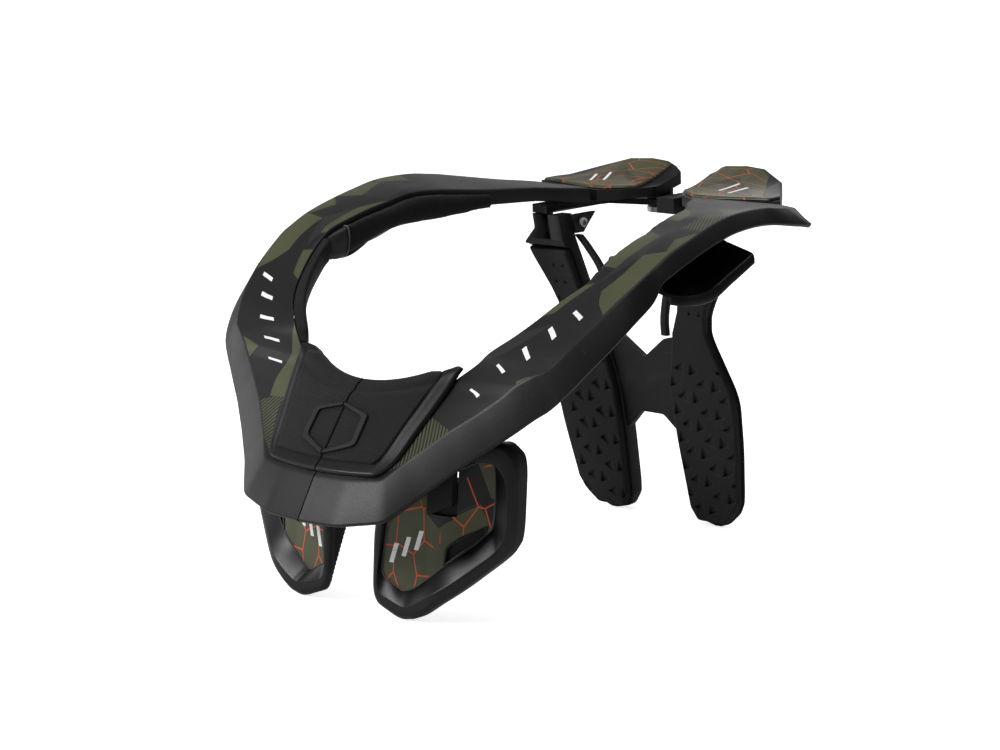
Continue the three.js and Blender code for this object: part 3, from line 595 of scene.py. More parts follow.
def arm_print(name, olive, hatch, grey, marks, mark_lean, hatch_direction, hatch_pitch):
    """Camouflage print on the arm's top face and plain satin moulding on its skirt and walls."""
    material, tree, shader, coordinates = new_material(name, 0.5)
    spot = pattern_spot(tree, coordinates)
    stripes = use_group(tree, STRIPES, {
        "Vector": coordinates.outputs["Object"], "Direction": hatch_direction,
        "Pitch": hatch_pitch, "Width": 0.5})["Mask"]
    colour = blend_colour(tree, patch_mask(tree, spot, grey), CAMO_BLACK, CAMO_GREY)
    colour = blend_colour(tree, patch_mask(tree, spot, olive), colour, OLIVE)
    hatched = calc(tree, "MULTIPLY", patch_mask(tree, spot, hatch), stripes)
    colour = blend_colour(tree, hatched, colour, OLIVE)
    bars = patch_mask(tree, spot, [mark_corners(mark, mark_lean) for mark in marks])
    colour = blend_colour(tree, bars, colour, PRINT_WHITE)
    across = add_node(tree, "ShaderNodeSeparateXYZ", {0: coordinates.outputs["UV"]}).outputs[1]
    on_top = calc(tree, "MULTIPLY", calc(tree, "GREATER_THAN", across, PRINT_FIRST),
                  calc(tree, "LESS_THAN", across, PRINT_LAST))
    colour = blend_colour(tree, on_top, PLAIN_BLACK, colour)
    finish_surface(tree, shader, coordinates, colour, 0.42, 1400, 0.05 * MM)
    return material


# Rib colours: the grooves are painted darker than the crests, as painted shade.
RIB_GROOVE_SHADE = (0.002, 0.002, 0.0025, 1)
RIB_HIGH = (0.01, 0.01, 0.011, 1)


def ribbed_textile(name, pitch):
    """Black ribbed knit: ribs up the insert, each rib a wave across it, with small stitches; the grooves
    between the ribs are painted darker than the crests, as painted shade.
    """
    material, tree, shader, coordinates = new_material(name, 0.9)
    parts = add_node(tree, "ShaderNodeSeparateXYZ", {0: coordinates.outputs["UV"]}).outputs
    rib = calc(tree, "SINE", calc(tree, "MULTIPLY", parts[0], 2 * math.pi / pitch))
    stitch = calc(tree, "SINE", calc(tree, "MULTIPLY", parts[1], 2 * math.pi / (0.8 * pitch)))
    height = calc(tree, "ADD", between(tree, rib, 0.5, 1.0), calc(tree, "MULTIPLY", stitch, 0.15))
    colour = blend_colour(tree, between(tree, rib, 0.3, 0.8), RIB_GROOVE_SHADE, RIB_HIGH)
    finish_surface(tree, shader, coordinates, colour, 0.85, 2500, 0.25 * MM, extra_height=height)
    shader.inputs["Sheen Weight"].default_value = 0.06
    return material


def woven_textile(name):
    material, tree, shader, coordinates = new_material(name, 0.9)
    weave = use_group(tree, WEAVE, {"Vector": coordinates.outputs["Object"], "Pitch": 1.6 * MM})["Height"]
    # Painted shade: the weave's low places are painted darker than the threads lying on top.
    colour = blend_colour(tree, weave, (0.003, 0.003, 0.0035, 1), (0.009, 0.009, 0.01, 1))
    finish_surface(tree, shader, coordinates, colour, 0.88, 2200, 0.15 * MM, extra_height=weave)
    shader.inputs["Sheen Weight"].default_value = 0.05
    return material


def printed_film(name, dark, hatch, bars, net_scale, net_width, net_patches,
                 stripe_direction, stripe_pitch):
    """Printed plate: olive with dark angular patches, a net of orange lines, stripes and bars."""
    material, tree, shader, coordinates = new_material(name, 0.35)
    spot = pattern_spot(tree, coordinates)
    colour = blend_colour(tree, patch_mask(tree, spot, dark), OLIVE, CAMO_BLACK)
    stripes = use_group(tree, STRIPES, {
        "Vector": coordinates.outputs["UV"], "Direction": stripe_direction,
        "Pitch": stripe_pitch, "Width": 0.5})["Mask"]
    colour = blend_colour(tree, calc(tree, "MULTIPLY", patch_mask(tree, spot, hatch), stripes), colour, OLIVE)
    net = use_group(tree, NET, {"Vector": coordinates.outputs["UV"], "Scale": net_scale, "Width": net_width})
    lines = calc(tree, "MULTIPLY", net["Mask"], patch_mask(tree, spot, net_patches))
    colour = blend_colour(tree, lines, colour, ORANGE)
    colour = blend_colour(tree, patch_mask(tree, spot, bars), colour, PRINT_WHITE)
    finish_surface(tree, shader, coordinates, colour, 0.35, 1800, 0.02 * MM)
    return material


ARM_PRINT = {
    "r": arm_print("arm_print_right", OLIVE_RIGHT, HATCH_RIGHT, GREY_RIGHT, MARKS_RIGHT, -0.22,
                   (0.86, 0.51, 0), 1.8 * MM),
    "l": arm_print("arm_print_left", OLIVE_LEFT, HATCH_LEFT, GREY_LEFT, MARKS_LEFT, 0.06,
                   (-0.79, 0, 0.62), 1.7 * MM),
}
CHEST_PRINT = printed_film(
    "chest_print",
    dark=[
        [(0.24, 0.273), (0.31, 0.311), (0.34, 0.4), (0.12, 0.33)],
        [(0.34, 0.42), (0.526, 0.42), (0.584, 0.316), (0.4, 0.24)],
        [(0.34, 0.27), (0.34, 0.42), (0.54, 0.31), (0.4, 0.238)],
        [(0.58, 0.32), (0.66, 0.32), (0.62, 0.22), (0.54, 0.3)],
        [(0.11, 0.05), (0.11, 0.24), (0.15, 0.22), (0.14, 0.05)],
    ],
    hatch=[[(0.467, 0.279), (0.545, 0.309), (0.572, 0.272), (0.42, 0.223)]],
    bars=[
        [(0.18, 0.135), (0.2, 0.135), (0.222, 0.185), (0.202, 0.185)],
        [(0.235, 0.155), (0.255, 0.155), (0.277, 0.205), (0.257, 0.205)],
        [(0.29, 0.175), (0.31, 0.175), (0.332, 0.225), (0.312, 0.225)],
    ],
    net_scale=10,
    net_width=0.02,
    net_patches=[
        [(0.1, 0), (0.1, 0.36), (0.33, 0.3), (0.42, 0.1)],
        [(0.4, 0.2), (0.44, 0.34), (0.66, 0.45), (0.66, 0.2)],
    ],
    stripe_direction=(-0.36, 0.93, 0),
    stripe_pitch=0.009,
)
WING_PRINT = printed_film(
    "wing_print",
    dark=[
        [(0.39, 1.01), (0.605, -0.01), (0.7, -0.01), (0.7, 1.01)],
        [(0.5, 0.02), (0.56, 0.1), (0.3, 0.7), (0.26, 0.5)],
        [(0.26, 0.5), (0.3, 0.7), (0.15, 0.35), (0.13, 0.15)],
    ],
    hatch=[
        [(0.5, 0.02), (0.56, 0.1), (0.3, 0.7), (0.26, 0.5)],
        [(0.26, 0.5), (0.3, 0.7), (0.15, 0.35), (0.13, 0.15)],
    ],
    bars=[
        [(0.3, 0.3), (0.315, 0.3), (0.35, 0.55), (0.335, 0.55)],
        [(0.36, 0.25), (0.375, 0.25), (0.41, 0.5), (0.395, 0.5)],
    ],
    net_scale=6,
    net_width=0.016,
    net_patches=[[(0.1, -0.01), (0.1, 1.01), (0.39, 1.01), (0.605, -0.01)]],
    stripe_direction=(0.9, 0.43, 0),
    stripe_pitch=0.014,
)
SATIN_BLACK = plain_finish("satin_black", PLAIN_BLACK, 0.38)
BEZEL_BLACK = plain_finish("bezel_black", (0.008, 0.008, 0.009, 1), 0.36)
MATT_BLACK = plain_finish("matt_black", (0.006, 0.006, 0.007, 1), 0.55)
GLOSS_BLACK = plain_finish("gloss_black", (0.003, 0.003, 0.0035, 1), 0.25)
SOFT_RUBBER = plain_finish("soft_rubber", (0.006, 0.006, 0.007, 1), 0.6, 2500, 0.05 * MM)
MOULDED_FOAM = plain_finish("moulded_foam", (0.006, 0.006, 0.007, 1), 0.65, 3000, 0.06 * MM)
EDGE_GREY = plain_finish("edge_grey", (0.07, 0.07, 0.068, 1), 0.4)
FLANGE_GREY = plain_finish("flange_grey", (0.02, 0.02, 0.021, 1), 0.4)
RIB_TEXTILE = ribbed_textile("rib_textile", 1.1 * MM)
PAD_TEXTILE = woven_textile("pad_textile")


# Painted shade: the tray's wall down into the window gets this darker colour in place of its shading.
WALL_PAINTED_SHADE = (0.0015, 0.0015, 0.0018, 1)
WALL_FIRST = 1.1        # the tray's wall lies between these places of its profile
WALL_LAST = 2.4


def tray_finish():
    """Satin plastic whose wall down to the plate is painted darker, as painted shade."""
    material, tree, shader, coordinates = new_material("tray_black", 0.36)
    across = add_node(tree, "ShaderNodeSeparateXYZ", {0: coordinates.outputs["UV"]}).outputs[1]
    past_rim = calc(tree, "GREATER_THAN", across, WALL_FIRST)
    wall_shade_mask = calc(tree, "MULTIPLY", past_rim, calc(tree, "LESS_THAN", across, WALL_LAST))
    # painted shade: the wall between the rim and the plate takes the darker colour
    colour = blend_colour(tree, wall_shade_mask, PLAIN_BLACK, WALL_PAINTED_SHADE)
    finish_surface(tree, shader, coordinates, colour, 0.36, 1500, 0.02 * MM)
    return material


TRAY_BLACK = tray_finish()


def brushed_steel():
    material, tree, shader, coordinates = new_material("brushed_steel", 0.35)
    finish_surface(tree, shader, coordinates, (0.4, 0.41, 0.43, 1), 0.35, 4000, 0.01 * MM)
    shader.inputs["Metallic"].default_value = 1.0
    return material


BRUSHED_STEEL = brushed_steel()


# Arms: a channel section carried round the neck
# Columns: top face outer edge x y z, top face inner edge x y z, skirt edge x y z, inner wall drop.
ARM_ROWS = [
    [0, -0.138, 0.362, 0, -0.117, 0.393, 0, -0.177, 0.26, 0.042],
    [0.169, -0.134, 0.364, 0.162, -0.114, 0.395, 0.185, -0.172, 0.263, 0.042],
    [0.312, -0.12, 0.374, 0.273, -0.1, 0.396, 0.373, -0.147, 0.283, 0.042],
    [0.383, -0.092, 0.423, 0.295, -0.09, 0.406, 0.475, -0.103, 0.348, 0.042],
    [0.508, -0.051, 0.497, 0.325, -0.058, 0.474, 0.577, -0.068, 0.411, 0.042],
    [0.605, -0.025, 0.544, 0.356, -0.026, 0.534, 0.681, -0.035, 0.468, 0.042],
    [0.677, -0.007, 0.584, 0.379, -0.001, 0.576, 0.75, -0.016, 0.505, 0.042],
    [0.721, 0.003, 0.613, 0.396, 0.01, 0.598, 0.803, -0.001, 0.535, 0.042],
    [0.777, 0.015, 0.637, 0.469, 0.028, 0.639, 0.85, 0.012, 0.558, 0.047],
    [0.831, 0.031, 0.658, 0.515, 0.039, 0.672, 0.909, 0.031, 0.602, 0.047],
    [0.88, 0.064, 0.712, 0.582, 0.062, 0.709, 0.953, 0.062, 0.653, 0.047],
    [0.92, 0.108, 0.769, 0.634, 0.09, 0.746, 0.985, 0.099, 0.701, 0.047],
    [0.939, 0.141, 0.806, 0.677, 0.127, 0.788, 1, 0.135, 0.742, 0.047],
    [0.96, 0.19, 0.854, 0.723, 0.173, 0.83, 1, 0.189, 0.789, 0.047],
    [0.962, 0.216, 0.874, 0.732, 0.199, 0.858, 1, 0.213, 0.834, 0.047],
    [0.962, 0.252, 0.899, 0.729, 0.223, 0.879, 1, 0.25, 0.858, 0.047],
    [0.959, 0.304, 0.924, 0.711, 0.284, 0.908, 0.998, 0.297, 0.884, 0.047],
    [0.948, 0.364, 0.948, 0.701, 0.335, 0.925, 0.992, 0.351, 0.908, 0.047],
    [0.946, 0.419, 0.963, 0.675, 0.385, 0.944, 0.985, 0.409, 0.924, 0.047],
    [0.938, 0.49, 0.965, 0.623, 0.439, 0.945, 0.973, 0.493, 0.926, 0.047],
    [0.938, 0.561, 0.953, 0.523, 0.51, 0.937, 0.977, 0.603, 0.903, 0.045],
    [0.785, 0.662, 0.926, 0.4, 0.578, 0.937, 0.8, 0.682, 0.892, 0.04],
    [0.708, 0.68, 0.924, 0.331, 0.625, 0.93, 0.723, 0.688, 0.889, 0.04],
    [0.638, 0.684, 0.924, 0.265, 0.6562, 0.928, 0.638, 0.6845, 0.89, 0.041],
]
ARM_FLAT_END = 7.0      # up to this row the skirt has flat facets, and past the next it flows
ARM_FLAT_BLEND = 1.5    # rows over which the flat facets turn into the flowing curve
ARM_TAIL_START = 20.0   # from here to the end it has flat facets again
ARM_TAIL_BLEND = 1.0
ARM_EASE = 0.16         # how far from a row the facets' edges are rounded
ARM_STEPS = 12


def arm_rows(places):
    """The arm's table at any place: flat facets with eased edges in front and at the tail, and a
    flowing curve between."""
    past_front = ramp(places, ARM_FLAT_END, ARM_FLAT_END + ARM_FLAT_BLEND)
    past_shoulder = ramp(places, ARM_TAIL_START - ARM_TAIL_BLEND, ARM_TAIL_START)
    flow = (past_front * (1 - past_shoulder))[:, None]
    return flowing(ARM_ROWS, places) * flow + eased(ARM_ROWS, places, ARM_EASE) * (1 - flow)


def arm_grid(places):
    """Inner wall foot, top face inner edge, top face outer edge and skirt edge, at each place."""
    rows = arm_rows(places)
    outer = place(rows[:, 0:3])
    inner = place(rows[:, 3:6])
    skirt = place(rows[:, 6:9])
    foot = inner - rows[:, 9:10] * np.array([0, 0, HEIGHT])
    return np.stack([foot, inner, outer, skirt], axis=1)


# Pattern place across the section, and the rounding, of the skin's and the inner skin's corners.
ARM_ACROSS = np.array([-0.5, 0, 1, 2, 2.4, 2.5, 2.6, 2.7])
ARM_RADII = np.array([0.8, 1.4, 1.1, 0.9, 0.7, 0.6, 0.6, 0.7]) * MM


def make_arm(side, sign, body):
    """The channel's skin and the same skin set in by the wall, with every edge rounded."""
    places = np.linspace(0, len(ARM_ROWS) - 1, ARM_STEPS * (len(ARM_ROWS) - 1) + 1)
    skin = arm_grid(places)
    skin[0, :, 0] = SEAM_GAP / 2
    inner = inset(skin, SHELL_WALL)
    inner[0, :, 0] = SEAM_GAP / 2
    corners = np.concatenate([skin, inner[:, ::-1]], axis=1)
    across = np.broadcast_to(ARM_ACROSS[None, :, None], corners.shape[:2] + (1,))
    rings = rounded(np.concatenate([corners, across], axis=2), ARM_RADII)
    along = np.broadcast_to(places[:, None], rings.shape[:2])
    uv = np.stack([along, rings[..., 3]], axis=-1)
    mesh = solid(f"arm_{side}", flipped(rings[..., :3], sign), uv)
    add_piece(mesh, body, ARM_PRINT[side], [f"arm_shell_{side}"])


# Front shield: a bezel with a ribbed insert
# Columns: centre y z, side x y z, from the bottom edge to the rolled neck edge.
SHIELD_ROWS = [
    [-0.137, 0.38, 0.292, -0.122, 0.387],
    [-0.112, 0.418, 0.335, -0.096, 0.423],
    [-0.081, 0.482, 0.365, -0.062, 0.486],
    [-0.059, 0.529, 0.396, -0.028, 0.549],
    [-0.046, 0.553, 0.416, 0, 0.602],
    [-0.03, 0.567, 0.424, 0.016, 0.634],
    [-0.018, 0.568, 0.384, 0.026, 0.63],
    [-0.009, 0.55, 0.357, 0.035, 0.611],
]
SHIELD_WALL = 2 * MM
INSERT_FOOT = 0.1
INSERT_SIDE = 0.8
INSERT_SIDE_TOP = 0.86
INSERT_LIFT = 0.7 * MM
INSERT_BURIED = 0.5 * MM
BEZEL_LIP = 0.2 * MM
BEZEL_SIDE_EDGE = 1.6 * MM
BEZEL_END_EDGE = 1.2 * MM
LIP_RISE = (0.1 * MM, 0.7 * MM)     # past the insert's edge, where the lip rises and falls
LIP_FALL = (2 * MM, 5 * MM)
INSERT_SINK = 0.6 * MM
SINK_EDGE = 0.4 * MM
BEZEL_CORNER = 5 * MM
INSERT_CORNER = 3.5 * MM
INSERT_EDGE = 1.2 * MM
SEAM_EDGE = 0.4 * MM
ROLL_GROOVE = 0.6       # height share of the groove under the rolled edge
GROOVE_WIDTH = 0.05
GROOVE_DEPTH = 0.9 * MM
ROLL_MIDDLE = 0.82      # height share of the roll's highest line
ROLL_WIDTH = 0.12
ROLL_RISE = 1.2 * MM
ROLL_END = 5 * MM       # over which the roll fades out at the side


SHIELD_WIDE = 0.37 * HALF_WIDTH     # about the half width of the shield
SHIELD_TALL = 0.24 * HEIGHT         # about its height along the face


def shield_grid(across, up):
    """The shield's face: across**2 blends the centre line into the side line at each height."""
    rows = flowing(SHIELD_ROWS, up[:, 0] * (len(SHIELD_ROWS) - 1))
    share = across**2
    x = SEAM_GAP / 2 + across * (rows[:, 2:3] * HALF_WIDTH - SEAM_GAP / 2)
    y = (rows[:, 0:1] + (rows[:, 3:4] - rows[:, 0:1]) * share) * DEPTH + SHIFT[1]
    z = (rows[:, 1:2] + (rows[:, 4:5] - rows[:, 1:2]) * share) * HEIGHT
    return np.stack([x, y, z], axis=-1)


def shield_lifted(across, up, lift):
    """Points off the shield's face, along the cross product of its two directions."""
    step = 0.01
    face = shield_grid(across, up)
    run = shield_grid(across + step, up) - shield_grid(across - step, up)
    rise = shield_grid(across, np.minimum(up + step, 1)) - shield_grid(across, np.maximum(up - step, 0))
    points = face + unit(np.cross(run, rise)) * lift[..., None]
    points[..., 0] = np.where(across <= 1e-6, SEAM_GAP / 2, points[..., 0])
    return points


def edge_drop(distance, radius):
    """How far a rounded edge has dropped at a distance from the edge: a quarter circle."""
    inside = np.clip(1 - distance / radius, 0, 1)
    return radius * (1 - np.sqrt(1 - inside**2))


def shield_spread(first, last, columns, rows, low_up, corner):
    """Across and up shares of a grid whose side edge leans with the height and whose lower
    corner is a quarter circle."""
    up = np.linspace(low_up, 1, rows)[:, None]
    end = first + (last - first) * up - edge_drop((up - low_up) * SHIELD_TALL, corner) / SHIELD_WIDE
    return np.linspace(0, 1, columns)[None, :] * end, np.broadcast_to(up, (rows, columns)), end


def insert_side(up):
    return INSERT_SIDE + (INSERT_SIDE_TOP - INSERT_SIDE) * up


def make_bezel(side, sign, body):
    """A wall under the shield's face with rounded edges and a lip round the insert's place."""
    across, up, end = shield_spread(1, 1, 90, 130, 0, BEZEL_CORNER)
    across = np.ascontiguousarray(np.broadcast_to(across, up.shape))
    to_side = (end - across) * SHIELD_WIDE
    to_ends = np.minimum(up, 1 - up) * SHIELD_TALL
    lift = -edge_drop(to_side, BEZEL_SIDE_EDGE) - edge_drop(to_ends, BEZEL_END_EDGE)
    past_side = (across - insert_side(up)) * SHIELD_WIDE
    past_foot = (INSERT_FOOT - up) * SHIELD_TALL
    past = np.maximum(past_side, past_foot)
    lip = ramp(past, LIP_RISE[0], LIP_RISE[1]) * (1 - ramp(past, LIP_FALL[0], LIP_FALL[1]))
    lift = lift + BEZEL_LIP * lip - INSERT_SINK * (1 - ramp(past, -SINK_EDGE, 0.0))
    front = shield_lifted(across, up, lift)
    back = shield_lifted(across, up, np.full(up.shape, -SHIELD_WALL))
    mesh = slab(f"front_bezel_{side}", flipped(front, sign), flipped(back, sign), smooth_angle=60)
    add_piece(mesh, body, BEZEL_BLACK, [f"front_frame_{side}"])


def make_insert(side, sign, body):
    """The ribbed insert: a layer on the face with rounded edges and a groove under its roll."""
    across, up, end = shield_spread(INSERT_SIDE, INSERT_SIDE_TOP, 80, 130, INSERT_FOOT, INSERT_CORNER)
    up = np.ascontiguousarray(up)
    to_side = (end - across) * SHIELD_WIDE
    to_ends = np.minimum(up - INSERT_FOOT, 1 - up) * SHIELD_TALL
    to_seam = across * SHIELD_WIDE
    lift = INSERT_LIFT - edge_drop(to_side, INSERT_EDGE) - edge_drop(to_ends, INSERT_EDGE)
    lift = lift - edge_drop(to_seam, SEAM_EDGE)
    lift = lift - GROOVE_DEPTH * np.exp(-(((up - ROLL_GROOVE) / GROOVE_WIDTH) ** 2))
    roll = np.exp(-(((up - ROLL_MIDDLE) / ROLL_WIDTH) ** 2)) * ramp(to_side, 0, ROLL_END)
    lift = lift + ROLL_RISE * roll
    front = shield_lifted(across, up, lift)
    back = shield_lifted(across, up, np.full(up.shape, -INSERT_BURIED))
    uv = np.stack([across * SHIELD_WIDE, up * SHIELD_TALL], axis=-1)
    mesh = slab(f"front_insert_{side}", flipped(front, sign), flipped(back, sign), uv, smooth_angle=60)
    add_piece(mesh, body, RIB_TEXTILE, [f"front_pad_{side}"])


# Columns: across share, up share of the emblem's outer line, from the seam round to the seam.
EMBLEM_ROWS = [[0, 0.42], [0.36, 0.35], [0.4, 0.19], [0, 0.12]]
EMBLEM_MIDDLE = 0.27
EMBLEM_INWARD = 0.81
EMBLEM_BURIED = 0.2 * MM
EMBLEM_RISE = 1.5 * MM
EMBLEM_EASE = 0.12
EMBLEM_RADII = np.array([0.1, 0.6, 0.6, 0.1]) * MM


def make_emblem(side, sign, body):
    """Half of a plain six-sided ring: a raised band between the outer line and the same line
    drawn in towards the ring's middle."""
    path = eased(EMBLEM_ROWS, np.linspace(0, len(EMBLEM_ROWS) - 1, 61), EMBLEM_EASE)
    across = path[:, 0:1]
    up = path[:, 1:2]
    inner_across = across * EMBLEM_INWARD
    inner_up = EMBLEM_MIDDLE + (up - EMBLEM_MIDDLE) * EMBLEM_INWARD
    low = np.full(across.shape, INSERT_LIFT - EMBLEM_BURIED)
    high = low + EMBLEM_RISE
    ring = np.concatenate([
        shield_lifted(across, up, low),
        shield_lifted(across, up, high),
        shield_lifted(inner_across, inner_up, high),
        shield_lifted(inner_across, inner_up, low),
    ], axis=1)
    rings = rounded(ring, EMBLEM_RADII)
    mesh = solid(f"emblem_{side}", flipped(rings, sign))
    add_piece(mesh, body, SOFT_RUBBER, [f"front_emblem_{side}"])


# Neck liner: a rubber band on the inner wall
# Columns: place along the arm, wall and drop in millimetres.
LINER_ROWS = [
    [8, 4.5, 11],
    [9, 6.5, 14],
    [10, 6.5, 14.5],
    [11, 5.5, 14],
    [12, 4.5, 13.5],
    [13, 4, 13.5],
    [14, 4, 13.5],
]
LINER_SET = 1.2 * MM
# Columns: share of the wall inwards, share of the drop.
LINER_RING = np.array([[0.05, 0], [1, 0.08], [1, 0.6], [0.75, 0.92], [0.05, 1], [0.05, 0.5]])
LINER_RADII = np.array([0.3, 2.2, 2.2, 2.2, 0.5, 0.3]) * MM


def inward_way(edge):
    """The level direction square to a line of points, towards the neck on the +X side."""
    along = unit(np.gradient(edge, axis=0) * np.array([1, 1, 0]))
    return np.stack([-along[:, 1], along[:, 0], 0 * along[:, 0]], axis=-1)


def make_liner(side, sign, body):
    """A band: its section, a table of shares, grows and thins along the arm's inner edge."""
    rows = flowing(LINER_ROWS, np.linspace(0, len(LINER_ROWS) - 1, 110))
    edge = arm_grid(rows[:, 0])[:, 1]
    inward = inward_way(edge)
    top = edge - np.array([0, 0, LINER_SET])
    wall = rows[:, 1, None, None] * MM
    drop = rows[:, 2, None, None] * MM
    out = inward[:, None] * LINER_RING[None, :, :1] * wall
    down = drop * LINER_RING[None, :, 1:] * np.array([0, 0, 1])
    rings = rounded(top[:, None] + out - down, LINER_RADII, 5)
    mesh = solid(f"neck_liner_{side}", flipped(rings, sign), smooth_angle=60)
    add_piece(mesh, body, SOFT_RUBBER, [f"collar_liner_{side}"])


# Shoulder pad: a stuffed textile pad on the inner wall
# Columns: place along the arm, drop below the arm's inner edge, inner bulge in millimetres.
PAD_ROWS = [
    [15.35, 0.098, 6],
    [16, 0.092, 6.5],
    [17, 0.083, 7],
    [18, 0.09, 7],
    [18.8, 0.087, 7],
    [19.4, 0.075, 6],
    [19.8, 0.063, 5],
    [20.1, 0.057, 4],
]
# The moulded flange in front of the pad, with the same columns.
FLANGE_ROWS = [
    [14.25, 0.064, 2],
    [14.6, 0.08, 3.6],
    [15, 0.092, 4.6],
    [15.3, 0.097, 5],
]
PAD_TOP_SET = 2.5 * MM      # the pad's top below the arm's inner edge
PAD_TUCK = 2 * MM           # how far its foot reaches under the arm's wall
PAD_SOFTNESS = 1 * MM       # how far its edges are drawn in
PAD_FOOT_SLANT = 4 * MM     # how far its foot lies behind its bulge
PAD_CORNER = 1.5 * MM
PAD_SMALLER = 0.7 * MM      # the pad starts this much smaller, and swells
PAD_VOXEL = 1.5 * MM
PAD_CAP = 1.4 * MM
WALL_DROP = 0.047 * HEIGHT + 0.8 * MM


def pad_rings(table, count, smaller):
    """Rings across the pad: its inner face bulges, and its foot tucks under the arm's wall."""
    rows = flowing(table, np.linspace(0, len(table) - 1, count))
    edge = arm_grid(rows[:, 0])[:, 1]
    inward = inward_way(edge)
    drop = rows[:, 1] * HEIGHT - smaller
    bulge = rows[:, 2] * MM - smaller
    level = np.zeros(len(rows))
    out = np.stack([
        level + CLEARANCE, bulge - PAD_SOFTNESS, bulge, bulge - 1.5 * PAD_SOFTNESS, bulge - PAD_FOOT_SLANT,
        level - PAD_TUCK + 0.5 * PAD_SOFTNESS, level - PAD_TUCK, level + CLEARANCE,
    ], axis=1)
    foot = np.maximum(drop - 0.5 * PAD_SOFTNESS, WALL_DROP + PAD_SOFTNESS)
    down = np.stack([
        level + PAD_TOP_SET, level + PAD_TOP_SET, drop * 0.45, drop * 0.8, drop,
        foot, level + WALL_DROP, level + WALL_DROP,
    ], axis=1)
    corners = edge[:, None] + inward[:, None] * out[..., None] - down[..., None] * np.array([0, 0, 1])
    return rounded(corners, PAD_CORNER, 3)


def points_of(mesh):
    flat = np.empty(len(mesh.vertices) * 3, np.float32)
    mesh.vertices.foreach_get("co", flat)
    return flat.reshape(-1, 3).astype(float)


def swell(piece, voxel, cap, pressure=4.0):
    """Cloth simulation: the closed skin blown up from within, no point moving past the cap."""
    remesh = piece.modifiers.new("remesh", "REMESH")
    remesh.mode = "VOXEL"
    remesh.voxel_size = voxel
    apply_modifiers(piece)
    start = points_of(piece.data)
    cloth = piece.modifiers.new("cloth", "CLOTH")
    cloth.settings.use_pressure = True
    cloth.settings.uniform_pressure_force = pressure
    cloth.settings.quality = 5
    cloth.settings.effector_weights.gravity = 0
    scene = bpy.context.scene
    for step in range(1, 21):
        scene.frame_set(step)
    apply_modifiers(piece)
    scene.frame_set(1)
    moved = points_of(piece.data) - start
    length = np.linalg.norm(moved, axis=1, keepdims=True)
    points = start + moved * np.minimum(1, cap / np.maximum(length, 1e-9))
    piece.data.vertices.foreach_set("co", points.astype(np.float32).ravel())
    piece.data.update()


def make_shoulder_pad(side, sign, body):
    rings = pad_rings(PAD_ROWS, 70, PAD_SMALLER)
    mesh = solid(f"shoulder_cushion_{side}", flipped(rings, sign), smooth_angle=70)
    piece = add_piece(mesh, body, PAD_TEXTILE, [f"shoulder_pad_{side}"])
    swell(piece, PAD_VOXEL, PAD_CAP)
    piece.data.shade_smooth()
    if not piece.data.materials:
        piece.data.materials.append(PAD_TEXTILE)
    smooth = piece.modifiers.new("smooth", "SUBSURF")
    smooth.levels = 1
    smooth.render_levels = 1


def make_pad_flange(side, sign, body):
    """The smooth flange between the neck liner and the pad."""
    rings = pad_rings(FLANGE_ROWS, 30, 0.0)
    mesh = solid(f"pad_flange_{side}", flipped(rings, sign), smooth_angle=50)
    add_piece(mesh, body, FLANGE_GREY)


PIPING_RADIUS = 0.5 * MM
PIPING_SPREAD = 1.02    # the piping's ring over the pad's end ring


def make_pad_piping(side, sign, body):
    """A light cord sewn round the pad's front end: a small ring carried round the end's outline."""
    ring = pad_rings(PAD_ROWS, 70, PAD_SMALLER)[0]
    middle = ring.mean(axis=0)
    outline = middle + (ring - middle) * PIPING_SPREAD
    forward = unit(np.cross(outline[4] - outline[0], outline[10] - outline[0]))
    outward = unit(outline - middle)
    angles = np.linspace(0, 2 * np.pi, 8, endpoint=False)
    round_it = np.cos(angles)[None, :, None] * outward[:, None] + np.sin(angles)[None, :, None] * forward
    tube = outline[:, None] + PIPING_RADIUS * round_it
    mesh = solid(f"pad_piping_{side}", flipped(tube, sign), closed=True, smooth_angle=80)
    add_piece(mesh, body, EDGE_GREY)


# Shoulder scoop: a moulded shell outboard of the pad
# Columns: inner wall top x y z, floor x y z, rim x y z, from its front to its back.
SCOOP_ROWS = [
    [0.785, 0.256, 0.95, 0.8, 0.256, 0.82, 0.95, 0.256, 0.795],
    [0.777, 0.29, 0.97, 0.795, 0.29, 0.815, 0.965, 0.29, 0.785],
    [0.772, 0.348, 0.98, 0.79, 0.348, 0.83, 0.965, 0.348, 0.785],
    [0.765, 0.405, 1, 0.785, 0.405, 0.858, 0.965, 0.399, 0.818],
    [0.755, 0.463, 1, 0.785, 0.462, 0.885, 0.97, 0.453, 0.858],
]
SCOOP_LIP = 5 * MM
LIP_FLARE = 0.3 * MM
SCOOP_WALL = 0.8 * SHELL_WALL
SCOOP_RADII = np.array([0.4, 6, 2.6, 0.8, 0.8, 1.4, 5, 0.4]) * MM


SIDE_FIRST = 8      # the arm's rows beside the neck and the shoulder
SIDE_LAST = 20


def arm_underside(points):
    """The height of the underside of the arm's top face above points given by x and y."""
    skin = arm_grid(np.linspace(SIDE_FIRST, SIDE_LAST, 241))
    inner = skin[:, 1]
    outer = skin[:, 2]
    nearest = np.abs(points[:, None, 1] - 0.5 * (inner + outer)[None, :, 1]).argmin(axis=1)
    low = inner[nearest]
    high = outer[nearest]
    share = np.clip((points[:, 0] - low[:, 0]) / (high[:, 0] - low[:, 0]), 0, 1)
    return low[:, 2] + share * (high[:, 2] - low[:, 2]) - SHELL_WALL - 2 * CLEARANCE


